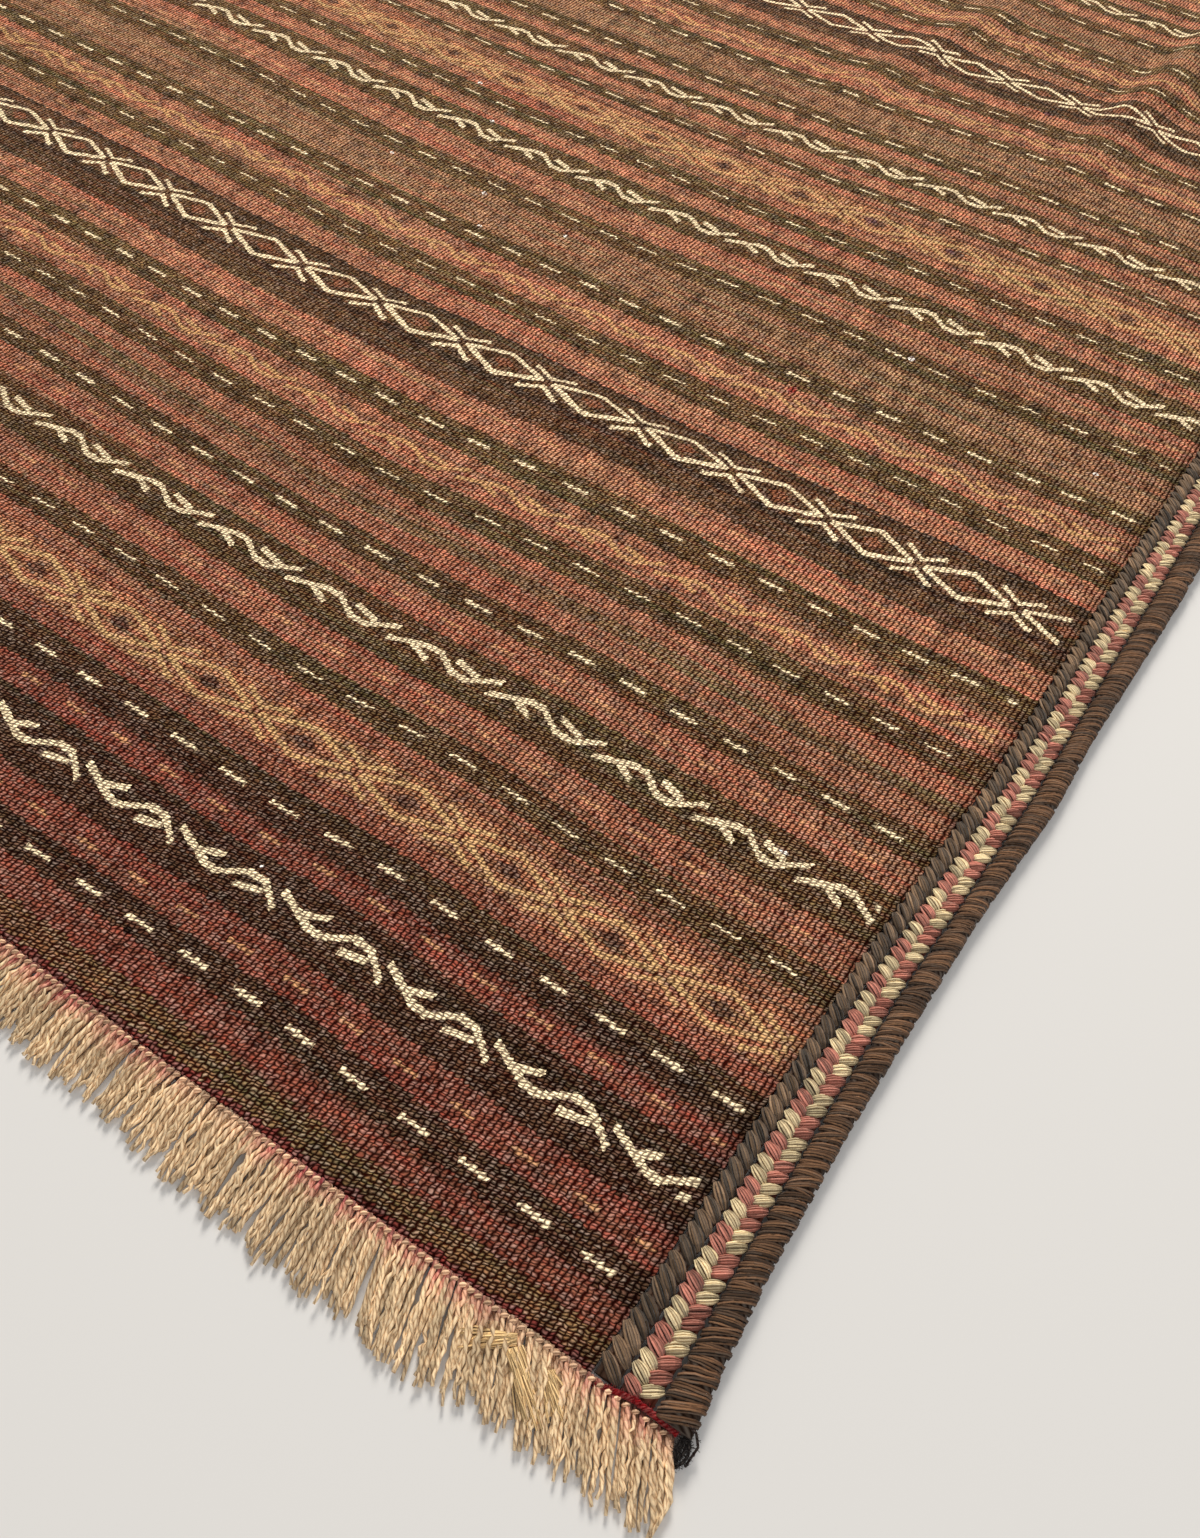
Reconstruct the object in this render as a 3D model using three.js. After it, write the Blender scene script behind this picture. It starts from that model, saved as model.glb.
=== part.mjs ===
// A flatwoven soumak rug lying on a floor, in millimetres, with +X along the weft, +Y along the warp and +Z up.
// The origin is under the middle of the rug, on the floor.
import * as THREE from 'three';

// Driving dimensions
const HALF_WIDTH = 550;
const HALF_LENGTH = 753;
const GAP = 0.3;
const CLOTH_THICKNESS = 2.2;
const BINDING_WIDTH = 2.4;
const SIDE_END = BINDING_WIDTH + GAP;

// The side finish, at distances from the nearer end of the cloth. The other columns are offsets from HALF_WIDTH,
// of the outer edge of the cord and of the inner edges of the cord, the chevron and the overcast column.
const SIDE_FINISH = [
  { fromEnd: 0, outer: 5.4, cordIn: -7.8, chevronIn: -19.4, overcastIn: -27.8 },
  { fromEnd: 21, outer: 2.6, cordIn: -8.0, chevronIn: -20.0, overcastIn: -27.6 },
  { fromEnd: 51, outer: 0.0, cordIn: -9.2, chevronIn: -20.6, overcastIn: -27.6 },
  { fromEnd: 101, outer: -1.6, cordIn: -10.6, chevronIn: -22.0, overcastIn: -27.8 },
  { fromEnd: 161, outer: -1.6, cordIn: -11.0, chevronIn: -22.0, overcastIn: -28.0 },
  { fromEnd: 201, outer: -1.2, cordIn: -9.4, chevronIn: -20.4, overcastIn: -26.6 },
  { fromEnd: 261, outer: 1.8, cordIn: -7.6, chevronIn: -18.2, overcastIn: -24.4 },
  { fromEnd: 301, outer: 0.4, cordIn: -7.8, chevronIn: -18.6, overcastIn: -24.6 },
  { fromEnd: 361, outer: 1.4, cordIn: -8.6, chevronIn: -19.8, overcastIn: -25.6 },
  { fromEnd: 401, outer: 1.8, cordIn: -8.6, chevronIn: -19.6, overcastIn: -25.8 },
  { fromEnd: 451, outer: 0.8, cordIn: -9.2, chevronIn: -19.6, overcastIn: -25.8 },
  { fromEnd: 600, outer: -0.6, cordIn: -9.6, chevronIn: -20.4, overcastIn: -26.6 },
  { fromEnd: HALF_LENGTH, outer: 0.0, cordIn: -9.2, chevronIn: -20.0, overcastIn: -26.4 },
];

// Heights of the side finish, and how far each top is drawn in from the foot
const CORD_HEIGHT = 6.0;
const CHEVRON_HEIGHT = 4.6;
const OVERCAST_HEIGHT = 3.6;
const SHOULDER_SHARE = 0.6;
const SHOULDER_INSET = 0.12;
const TOP_INSET = 0.3;

// Ripples that run along the warp. The crest goes from one point to the other and is highest at peakShare of the way.
const RIPPLES = [
  { fromX: 374, fromY: -130, toX: 394, toY: 270, height: 9.0, peakShare: 0.58, leftReach: 20, rightReach: 36 },
  { fromX: 222, fromY: -130, toX: 276, toY: 150, height: 4.0, peakShare: 0.72, leftReach: 26, rightReach: 24 },
];

// Stations of the cloth's grid across the rug: fine where the ripples are
const RIPPLED_FROM = 200;
const RIPPLED_TO = 432;
const FINE_STEP = 9.5;
const COARSE_STEP = 120;
const EDGE_REACH = 60;

// Stations along the rug: the rows of the side finish, and even steps in the middle
const MIDDLE_REACH = 302;
const MIDDLE_STEP = 43;

// The waver of the cloth's front end
const END_WAVER = 1.6;
const END_WAVES = 3;

// The fringe, its twined strip and its locks
const STRIP_DEPTH = 2.4;
const STRIP_HEIGHT = 2.4;
const STRIP_OVERHANG = 0.6;
const LOCKS = 118;
const ROOT_SHARE = 0.78;
const FRINGE_LENGTH = 25;
const FRINGE_EXTRA = 4.5;
const LONGER_FROM = 230;
const LONGER_TO = 490;
const LOCK_SWEEP = 3.2;
const LOCK_JITTER = 0.7;
const LENGTH_SWEEP = 2.0;
const LENGTH_JITTER = 0.8;
const LOCK_SECTIONS = [
  { share: 0.45, foot: 7.6, crown: 5.2, height: 3.2, lean: 0.35 },
  { share: 1.0, foot: 4.8, crown: 3.4, height: 1.3, lean: 1.0 },
];

// The yarn across the ends of the side finish, and the black tuft beyond the corner
const BINDING_HEIGHT = 3.2;
const BINDING_INNER = -25.0;
const BINDING_OUTER = 4.6;
const BINDING_TAPER = 3.0;
const BINDING_TIP_GIRTH = 0.7;
const KNOT_LENGTH = 11;
const KNOT_WIDTH = 4.2;
const KNOT_HEIGHT = 3.4;
const KNOT_SECTIONS = [
  { share: 0, girth: 0.55 },
  { share: 0.3, girth: 1 },
  { share: 0.7, girth: 0.85 },
  { share: 1, girth: 0.5 },
];

// A loose yarn's section: shares of its half width at the foot and the crown, and of its height at the widest place
const YARN_FOOT = 0.7;
const YARN_CROWN = 0.6;
const YARN_WAIST = 0.5;

// A number from 0 to 1 that looks random and is the same each time
function scatter(index, salt) {
  const wave = Math.sin(index * 12.9898 + salt * 78.233) * 43758.5453;
  return wave - Math.floor(wave);
}

// Smooth scatter along a row: whole numbers keep their own value and those between are eased
function drift(position, salt) {
  const before = Math.floor(position);
  const ease = THREE.MathUtils.smoothstep(position - before, 0, 1);
  return THREE.MathUtils.lerp(scatter(before, salt), scatter(before + 1, salt), ease) * 2 - 1;
}

// One column of the side finish at y, in straight lines between the rows of the table
function sideOffset(column, y) {
  const fromEnd = Math.max(0, HALF_LENGTH - Math.abs(y));
  const after = SIDE_FINISH.findIndex((row) => row.fromEnd >= fromEnd);
  const high = SIDE_FINISH[Math.max(after, 1)];
  const low = SIDE_FINISH[Math.max(after, 1) - 1];
  const share = (fromEnd - low.fromEnd) / (high.fromEnd - low.fromEnd);
  return HALF_WIDTH + THREE.MathUtils.lerp(low[column], high[column], share);
}

function rippleHeight(ripple, x, y) {
  const along = (y - ripple.fromY) / (ripple.toY - ripple.fromY);
  if (along <= 0 || along >= 1) {
    return 0;
  }
  const stretch = along < ripple.peakShare ? ripple.peakShare : 1 - ripple.peakShare;
  const rise = Math.cos((Math.PI / 2) * ((along - ripple.peakShare) / stretch)) ** 2;
  const crest = THREE.MathUtils.lerp(ripple.fromX, ripple.toX, along);
  const reach = x < crest ? ripple.leftReach : ripple.rightReach;
  const across = Math.abs(x - crest) / reach;
  return across >= 1 ? 0 : ripple.height * rise * Math.cos((Math.PI / 2) * across) ** 2;
}

function lift(x, y) {
  return RIPPLES.reduce((total, ripple) => total + rippleHeight(ripple, x, y), 0);
}

function solid(points, triangles) {
  const geometry = new THREE.BufferGeometry();
  geometry.setAttribute('position', new THREE.Float32BufferAttribute(points.flat(), 3));
  geometry.setIndex(triangles.flat());
  geometry.computeVertexNormals();
  return geometry;
}

function quad(a, b, c, d) {
  return [[a, b, c], [a, c, d]];
}

// A closed body through rings of equal count. Each ring runs anticlockwise as seen from the last ring.
function loft(rings) {
  const count = rings[0].length;
  const points = rings.flat();
  const triangles = [];
  for (let ring = 0; ring + 1 < rings.length; ring += 1) {
    for (let side = 0; side < count; side += 1) {
      const next = (side + 1) % count;
      const here = ring * count;
      triangles.push(...quad(here + side, here + next, here + count + next, here + count + side));
    }
  }
  const last = (rings.length - 1) * count;
  for (let corner = 1; corner + 1 < count; corner += 1) {
    triangles.push([0, corner + 1, corner]);
    triangles.push([last, last + corner, last + corner + 1]);
  }
  return solid(points, triangles);
}

function evenSteps(from, to, step) {
  const count = Math.max(1, Math.round((to - from) / step));
  return Array.from({ length: count + 1 }, (_, index) => from + ((to - from) * index) / count);
}

// Stations across the cloth, from edge to edge
function acrossStations() {
  const inner = HALF_WIDTH - EDGE_REACH;
  const stations = [
    -HALF_WIDTH,
    ...evenSteps(-inner, RIPPLED_FROM, COARSE_STEP),
    ...evenSteps(RIPPLED_FROM, RIPPLED_TO, FINE_STEP),
    ...evenSteps(RIPPLED_TO, inner, COARSE_STEP),
    HALF_WIDTH,
  ];
  return [...new Set(stations)];
}

// How far the cloth's front end wavers outwards, in straight lines between the stations across
function endWaver(x) {
  const stations = acrossStations();
  const wave = (station) => END_WAVER * Math.cos((END_WAVES * Math.PI * station) / (2 * HALF_WIDTH)) ** 2;
  const after = stations.findIndex((station) => station >= x);
  if (after < 1) {
    return 0;
  }
  const share = (x - stations[after - 1]) / (stations[after] - stations[after - 1]);
  return THREE.MathUtils.lerp(wave(stations[after - 1]), wave(stations[after]), share);
}

// Stations along the rug, from end to end
function alongStations() {
  const nearEnd = SIDE_FINISH.map((row) => row.fromEnd - HALF_LENGTH).filter((y) => y < -MIDDLE_REACH);
  const farEnd = nearEnd.map((y) => -y).reverse();
  return [...nearEnd, ...evenSteps(-MIDDLE_REACH, MIDDLE_REACH, MIDDLE_STEP), ...farEnd];
}

// The cloth: a sheet of even thickness that lies flat but for its ripples
function groundCloth() {
  const across = acrossStations();
  const along = alongStations();
  const columns = across.length;
  const rows = along.length;
  const points = [];
  for (const base of [0, CLOTH_THICKNESS]) {
    for (const [row, station] of along.entries()) {
      for (const nominal of across) {
        const isEdge = Math.abs(nominal) === HALF_WIDTH;
        const edge = sideOffset('overcastIn', station) - GAP;
        const x = isEdge ? Math.sign(nominal) * edge : nominal;
        const y = row === 0 ? station - endWaver(x) : station;
        points.push([x, y, base + lift(x, y)]);
      }
    }
  }
  const at = (layer, row, column) => (layer * rows + row) * columns + column;
  const triangles = [];
  for (let row = 0; row + 1 < rows; row += 1) {
    for (let column = 0; column + 1 < columns; column += 1) {
      const corners = [[row, column], [row, column + 1], [row + 1, column + 1], [row + 1, column]];
      triangles.push(...quad(...corners.map(([r, c]) => at(1, r, c))));
      triangles.push(...quad(...corners.reverse().map(([r, c]) => at(0, r, c))));
    }
  }
  const rim = [];
  for (let column = 0; column + 1 < columns; column += 1) {
    rim.push([[0, column], [0, column + 1]]);
    rim.push([[rows - 1, column + 1], [rows - 1, column]]);
  }
  for (let row = 0; row + 1 < rows; row += 1) {
    rim.push([[row, columns - 1], [row + 1, columns - 1]]);
    rim.push([[row + 1, 0], [row, 0]]);
  }
  for (const [[r0, c0], [r1, c1]] of rim) {
    triangles.push(...quad(at(0, r0, c0), at(0, r1, c1), at(1, r1, c1), at(1, r0, c0)));
  }
  return solid(points, triangles);
}

// One band of the side finish on the right, a flat-footed ridge between two columns of the table
function sideBand(innerColumn, outerColumn, height) {
  const reach = HALF_LENGTH - SIDE_END;
  const rings = alongStations().map((station) => {
    const y = THREE.MathUtils.clamp(station, -reach, reach);
    const inner = sideOffset(innerColumn, y);
    const outer = sideOffset(outerColumn, y) - (outerColumn === 'outer' ? 0 : GAP);
    const width = outer - inner;
    const place = (share, z) => [inner + width * share, y, z];
    return [
      place(SHOULDER_INSET, 0),
      place(1 - SHOULDER_INSET, 0),
      place(1, height * (1 - SHOULDER_SHARE)),
      place(1 - SHOULDER_INSET / 2, height * SHOULDER_SHARE),
      place(1 - TOP_INSET, height),
      place(TOP_INSET, height),
      place(SHOULDER_INSET / 2, height * SHOULDER_SHARE),
      place(0, height * (1 - SHOULDER_SHARE)),
    ].reverse();
  });
  return loft(rings);
}

// Where a lock's root, and the sections beyond it, lie along the strip
function lockPlan(index, spacing, left) {
  const middle = left + spacing * (index + 0.5);
  const lean = LOCK_SWEEP * drift(index / 7, 1) + LOCK_JITTER * drift(index, 2);
  const nearCorner = THREE.MathUtils.smoothstep(middle, LONGER_FROM, LONGER_TO);
  const ragged = LENGTH_SWEEP * drift(index / 3, 3) + LENGTH_JITTER * drift(index, 4);
  return { middle, lean, length: FRINGE_LENGTH + FRINGE_EXTRA * nearCorner + ragged };
}

// The front fringe: a strip along the cloth's end with flat-footed locks that grow out of its face
function fringe(waver) {
  const right = HALF_WIDTH + STRIP_OVERHANG;
  const left = -right;
  const spacing = (right - left) / LOCKS;
  const points = [];
  const triangles = [];
  const add = (x, y, z) => points.push([x, y, z]) - 1;
  const pair = (x, y) => [add(x, y, 0), add(x, y, STRIP_HEIGHT)];
  const backY = (x) => -HALF_LENGTH - GAP - waver(x);
  let back = pair(left, backY(left));
  let previous = null;
  for (let index = 0; index < LOCKS; index += 1) {
    const plan = lockPlan(index, spacing, left);
    const rootHalf = (spacing * ROOT_SHARE) / 2;
    const isFirst = index === 0;
    const isLast = index === LOCKS - 1;
    const startX = isFirst ? left : plan.middle - rootHalf;
    const stopX = isLast ? right : plan.middle + rootHalf;
    const start = pair(startX, backY(startX) - STRIP_DEPTH);
    const stop = pair(stopX, backY(stopX) - STRIP_DEPTH);
    const nextX = left + spacing * (index + 1);
    const nextBack = pair(nextX, backY(nextX));
    triangles.push(...quad(back[1], back[0], nextBack[0], nextBack[1]).map((face) => face.reverse()));
    triangles.push(...quad(back[1], start[1], stop[1], nextBack[1]));
    triangles.push(...quad(back[0], nextBack[0], stop[0], start[0]));
    if (isFirst) {
      triangles.push(...quad(back[0], start[0], start[1], back[1]));
    } else {
      triangles.push([back[1], previous[1], start[1]]);
      triangles.push([back[0], start[0], previous[0]]);
      triangles.push(...quad(previous[0], start[0], start[1], previous[1]));
    }
    let ring = [start[0], stop[0], stop[1], start[1]];
    for (const section of LOCK_SECTIONS) {
      const x = plan.middle + plan.lean * section.lean;
      const y = backY(plan.middle) - STRIP_DEPTH - plan.length * section.share;
      const nextRing = [
        add(x - section.foot / 2, y, 0),
        add(x + section.foot / 2, y, 0),
        add(x + section.crown / 2, y, section.height),
        add(x - section.crown / 2, y, section.height),
      ];
      for (let side = 0; side < 4; side += 1) {
        const next = (side + 1) % 4;
        triangles.push(...quad(ring[side], ring[next], nextRing[next], nextRing[side]));
      }
      ring = nextRing;
    }
    triangles.push(...quad(...ring));
    previous = stop;
    back = nextBack;
  }
  triangles.push(...quad(previous[0], back[0], back[1], previous[1]));
  return solid(points, triangles);
}

// The section of a loose yarn with a flat foot, as pairs of sideways and upward places
function yarnSection(halfWidth, height) {
  return [
    [-halfWidth * YARN_FOOT, 0],
    [halfWidth * YARN_FOOT, 0],
    [halfWidth, height * YARN_WAIST],
    [halfWidth * YARN_CROWN, height],
    [-halfWidth * YARN_CROWN, height],
    [-halfWidth, height * YARN_WAIST],
  ];
}

// The short yarn across the ends of the side finish
function cornerBinding() {
  const middle = -HALF_LENGTH + BINDING_WIDTH / 2;
  const inner = HALF_WIDTH + BINDING_INNER;
  const outer = HALF_WIDTH + BINDING_OUTER;
  const ring = (x, girth) => {
    const section = yarnSection((BINDING_WIDTH / 2) * girth, BINDING_HEIGHT * girth);
    return section.map(([across, up]) => [x, middle + across, up]);
  };
  return loft([
    ring(inner, BINDING_TIP_GIRTH),
    ring(inner + BINDING_TAPER, 1),
    ring(outer - BINDING_TAPER, 1),
    ring(outer, BINDING_TIP_GIRTH),
  ]);
}

// The tuft of black yarn that hangs past the corner
function cornerKnot() {
  const middle = HALF_WIDTH + STRIP_OVERHANG + GAP + KNOT_WIDTH / 2;
  const rings = KNOT_SECTIONS.map(({ share, girth }) => {
    const y = -HALF_LENGTH - GAP - share * KNOT_LENGTH;
    const section = yarnSection((KNOT_WIDTH / 2) * girth, KNOT_HEIGHT * girth);
    return section.map(([across, up]) => [middle + across, y, up]);
  });
  return loft(rings);
}

const rug = new THREE.Group();

const YARNS = {
  weave: { color: 0x7a4a3a, roughness: 0.95, metalness: 0 },
  overcast: { color: 0x5f4b3a, roughness: 0.95, metalness: 0 },
  chevron: { color: 0xc39a7c, roughness: 0.9, metalness: 0 },
  cord: { color: 0x50372a, roughness: 0.95, metalness: 0 },
  fringe: { color: 0xc8aa78, roughness: 0.95, metalness: 0 },
  red: { color: 0x780a10, roughness: 0.9, metalness: 0 },
  black: { color: 0x141012, roughness: 0.9, metalness: 0 },
};

function place(name, geometry, yarn, turned) {
  const mesh = new THREE.Mesh(geometry, new THREE.MeshStandardMaterial(YARNS[yarn]));
  mesh.name = name;
  mesh.rotation.z = turned ? Math.PI : 0;
  rug.add(mesh);
}

// A copy of a geometry on the other side of the plane across one axis
function mirrored(geometry, axis) {
  const copy = geometry.clone();
  const position = copy.getAttribute('position');
  for (let index = 0; index < position.count; index += 1) {
    position.setComponent(index, axis, -position.getComponent(index, axis));
  }
  const order = copy.getIndex();
  for (let face = 0; face < order.count; face += 3) {
    const second = order.getX(face + 1);
    order.setX(face + 1, order.getX(face + 2));
    order.setX(face + 2, second);
  }
  return copy;
}

place('ground_cloth', groundCloth(), 'weave', false);

const SIDE_BANDS = [
  { name: 'overcast', inner: 'overcastIn', outer: 'chevronIn', height: OVERCAST_HEIGHT, yarn: 'overcast' },
  { name: 'chevron', inner: 'chevronIn', outer: 'cordIn', height: CHEVRON_HEIGHT, yarn: 'chevron' },
  { name: 'cord', inner: 'cordIn', outer: 'outer', height: CORD_HEIGHT, yarn: 'cord' },
];
for (const band of SIDE_BANDS) {
  place(`${band.name}_right`, sideBand(band.inner, band.outer, band.height), band.yarn, false);
  place(`${band.name}_left`, sideBand(band.inner, band.outer, band.height), band.yarn, true);
}

place('fringe_front', fringe(endWaver), 'fringe', false);
place('fringe_back', fringe(() => 0), 'fringe', true);

const LEFT_RIGHT = 0;
place('corner_binding_front_right', cornerBinding(), 'red', false);
place('corner_binding_back_left', cornerBinding(), 'red', true);
place('corner_binding_front_left', mirrored(cornerBinding(), LEFT_RIGHT), 'red', false);
place('corner_binding_back_right', mirrored(cornerBinding(), LEFT_RIGHT), 'red', true);

place('corner_knot', cornerKnot(), 'black', false);

// The fringes are ragged, so the middle of the whole outline is found here and put over the origin
const outline = new THREE.Box3().setFromObject(rug);
const middle = outline.getCenter(new THREE.Vector3());
rug.position.set(-middle.x, -middle.y, 0);

export default rug;
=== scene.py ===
"""Soumak rug lying flat: its weave, side finish, fringes and corner yarns.

The rug is drawn in millimetres from its middle and turned to metres when a mesh is made.
Patterns are counted in pitches, one warp column each: u runs along the weft from the right edge,
and v runs along the warp from the front end.
"""

import math

import bpy
import numpy as np
from mathutils import Matrix, Vector


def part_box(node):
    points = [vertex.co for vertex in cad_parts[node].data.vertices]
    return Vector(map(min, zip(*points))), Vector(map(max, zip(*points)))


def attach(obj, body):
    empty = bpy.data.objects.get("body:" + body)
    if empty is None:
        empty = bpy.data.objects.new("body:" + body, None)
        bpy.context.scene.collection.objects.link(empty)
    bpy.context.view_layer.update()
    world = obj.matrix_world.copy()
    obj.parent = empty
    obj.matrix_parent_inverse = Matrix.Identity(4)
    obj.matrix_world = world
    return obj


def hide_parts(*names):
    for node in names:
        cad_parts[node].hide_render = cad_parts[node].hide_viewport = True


MM = 0.001
PITCH = 2.0
HALF_WIDTH = 550.0
HALF_LENGTH = 753.0
GAP = 0.3
CLOTH_THICKNESS = 2.2
FRONT_V = 49.5
EDGE_X = 554.4
WEFT_HEIGHT = 0.58
WEFT_SLANT = 0.55
SIDE_END = 1.0
CHEVRON_SPACING = 4.34
OVERCAST_SPACING = 5.0
WRAP_SPACING = 0.84
FIRST_MOTIF_U, LAST_MOTIF_U = -537.0, -18.0
SIDES = {"right": 1, "left": -1}
ENDS = {"front": 1, "back": -1}
LIT_SPOT = Vector((0.2, -0.3, 0))
RNG = np.random.default_rng(11)

# distance from the end, then the outer edge, cord, chevron and overcast lines, as offsets from HALF_WIDTH
SIDE_FINISH = np.array([
    (0, 5.4, -7.8, -19.4, -27.8),
    (21, 2.6, -8.0, -20.0, -27.6),
    (51, 0.0, -9.2, -20.6, -27.6),
    (101, -1.6, -10.6, -22.0, -27.8),
    (161, -1.6, -11.0, -22.0, -28.0),
    (201, -1.2, -9.4, -20.4, -26.6),
    (261, 1.8, -7.6, -18.2, -24.4),
    (301, 0.4, -7.8, -18.6, -24.6),
    (361, 1.4, -8.6, -19.8, -25.6),
    (401, 1.8, -8.6, -19.6, -25.8),
    (451, 0.8, -9.2, -19.6, -25.8),
    (600, -0.6, -9.6, -20.4, -26.6),
    (753, 0.0, -9.2, -20.0, -26.4),
])
OUTER, CORD_IN, CHEVRON_IN, OVERCAST_IN = 1, 2, 3, 4

# crest line from (x, y) to (x, y), height, where along it the peak is, reach to the left and right
RIPPLES = [
    (374, -130, 394, 270, 9.0, 0.58, 20, 36),
    (222, -130, 276, 150, 4.0, 0.72, 26, 24),
]

# how far the weft rows wander from straight: for each row v, pairs of u and the wander there, in pitches
ROW_WANDER = {
    49.5: ((-555, 0), (0, 0)),
    63.2: ((-145, 0.4), (-110, 1.2), (-84, 1.5), (-72, 0.3), (-50, 0.1), (-20, -0.8)),
    95.7: ((-150, 0.7), (-115, -0.2), (-103, 0.8), (-91, 1.4), (-79, 1.1), (-67, 0.2), (-20, -0.1)),
    122.5: (
        (-218, 1.4), (-194, 1.3), (-171, 0.8), (-157, 0.2), (-135, -0.2), (-107, 0.8), (-95, 1.3),
        (-84, 1.0), (-72, 0), (-60, -0.7), (-27, -0.4),
    ),
    140.9: ((-222, 1.1), (-193, 0.6), (-168, -0.1), (-142, -0.4), (-117, -0.1), (-93, 0.8), (-70, -0.1)),
    157.8: (
        (-254, 0.7), (-229, -0.3), (-203, -1.8), (-180, -2.3), (-153, -2.5), (-116, -1.5), (-105, -0.5),
        (-93, 0.4), (-69, 0), (-24, 0.4),
    ),
    180.2: (
        (-255, -1.4), (-216, -3.4), (-180, -3.9), (-156, -5), (-143, -3.9), (-130, -2.5), (-106, -1.5),
        (-82, 0), (-48, 0), (-25, 0.8), (-16, 1.8),
    ),
    199.5: (
        (-258, -2.3), (-221, -4.3), (-160, -4.7), (-147, -3.5), (-122, -2), (-98, -1), (-75, -0.3),
        (-52, 0.2), (-29, 1.5), (-17, 2.2),
    ),
    224.5: (
        (-313, -0.5), (-270, -1.3), (-248, -2.7), (-223, -3.3), (-197, -2), (-174, -1.8), (-150, -1.1),
        (-124, 0.2), (-75, 0), (-52, 0), (-31, 1.5), (-18, 2),
    ),
    233.5: (
        (-300, -2.5), (-195, -5), (-168, -3.2), (-105, -2.9), (-95, -1.5), (-68, -0.5), (-40, 1.5),
        (-14, 1.1),
    ),
    246.0: (
        (-298, -3.4), (-243, -4.4), (-208, -5.2), (-185, -3.8), (-161, -3.6), (-137, -2.8), (-112, -2.2),
        (-88, -0.8), (-65, 0.4), (-43, 0.8), (-20, 2.2),
    ),
    264.5: (
        (-297, -3.7), (-231, -4.9), (-184, -4.3), (-161, -3.5), (-137, -2.7), (-113, -1.3), (-88, -0.3),
        (-65, 0.3), (-42, 1.1), (-21, 3.7),
    ),
    285.0: (
        (-296, -2), (-239, -3.8), (-216, -3.4), (-193, -2.8), (-158, -1.6), (-133, 0.2), (-109, 1.4),
        (-98, 2.4), (-74, 2.4), (-51, 4.2), (-18, 5.6),
    ),
    303.0: (
        (-291, -0.6), (-230, -1.6), (-206, -2), (-182, -1.4), (-160, -0.6), (-135, 0.6), (-112, 2),
        (-88, 3.6), (-64, 4.6), (-40, 5.6), (-22, 7),
    ),
    318.0: (
        (-297, -1), (-217, -1.6), (-194, -0.6), (-158, 0.4), (-134, 2), (-110, 3.8), (-98, 5), (-74, 6.2),
        (-51, 7.2), (-30, 8.2),
    ),
    331.0: (
        (-282, -0.4), (-215, 0), (-192, 0), (-169, 1), (-144, 2.6), (-120, 4.6), (-97, 6), (-72, 7.6),
        (-49, 10), (-20, 11),
    ),
    357.5: (
        (-273, -3.2), (-250, -3.5), (-202, -1), (-180, 0.1), (-157, 1.2), (-134, 3.2), (-108, 6),
        (-84, 7.1), (-60, 8.2),
    ),
    371.5: (
        (-254, -3), (-218, -1.9), (-194, -1.1), (-172, 1.3), (-160, 1.3), (-136, 3.5), (-101, 6.8),
        (-86, 6.5), (-52, 8.9),
    ),
    389.8: (
        (-240, -1.5), (-218, -2.4), (-194, -0.5), (-172, 0.4), (-161, 2.6), (-148, 1.7), (-136, 3.9),
        (-113, 5.6), (-101, 8.5), (-88, 7.2), (-63, 8.9),
    ),
    409.0: (
        (-225, -1.2), (-214, -2.3), (-191, -0.3), (-169, 0.6), (-157, 3.2), (-145, 1.7), (-120, 3),
        (-97, 6.4), (-84, 5.8), (-59, 5.6),
    ),
    433.0: ((-203, -3.2), (-183, -2.6), (-159, -1), (-136, -0.4), (-111, 1), (-89, 2)),
    450.5: ((-175, -1.5), (-163, -1.8), (-152, 1), (-129, 0.8), (-107, 0), (-72, 2.5)),
    467.5: ((-152, 0.3), (-123, 0.5), (-102, 0.8)),
    488.0: ((-132, -0.2), (-120, -1.7), (-99, -0.2)),
    503.5: ((-117, -0.9), (-60, 0)),
    620.0: ((-555, 0), (0, 0)),
    802.5: ((-555, 0), (0, 0)),
}

# how far the motifs slip along the weft at u, and how much of that slip each row v has
SLIP = (
    (-313, -0.2), (-292, -2.4), (-270, -4.1), (-248, -5.5), (-223, -4.3), (-174, -2.5), (-150, -1.3),
    (-124, 0.9), (-99, 2.0), (-75, 2.9), (-52, 1.9), (-31, 0),
)
SLIP_SHARE = ((80, 0), (100, 0.5), (140, 1), (225, 1), (265, 0.2), (300, 0))

# loose locks of the front fringe: x and depth below the root at both ends, then the width at both ends
LOOSE_LOCKS = [
    (500.0, 4.5, 487.0, 12.5, 1.5, 4.5),
    (500.5, 7.0, 516.5, 20.5, 3.0, 5.0),
    (512.0, 6.5, 521.5, 15.0, 2.0, 3.5),
]
# the yarn across the end of the side finish and the loop round the end of the cord
BINDING_KNOTS = [
    (524.4, -755.0, 2.0), (529.5, -753.6, 2.8), (535.4, -752.2, 3.4), (542.0, -752.3, 3.6),
    (550.5, -752.6, 3.2),
]
LOOP_KNOTS = [(551.4, -749.2, 4.6), (554.6, -749.6, 4.4), (557.0, -752.0, 3.0), (556.6, -758.0, 1.6)]

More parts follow.
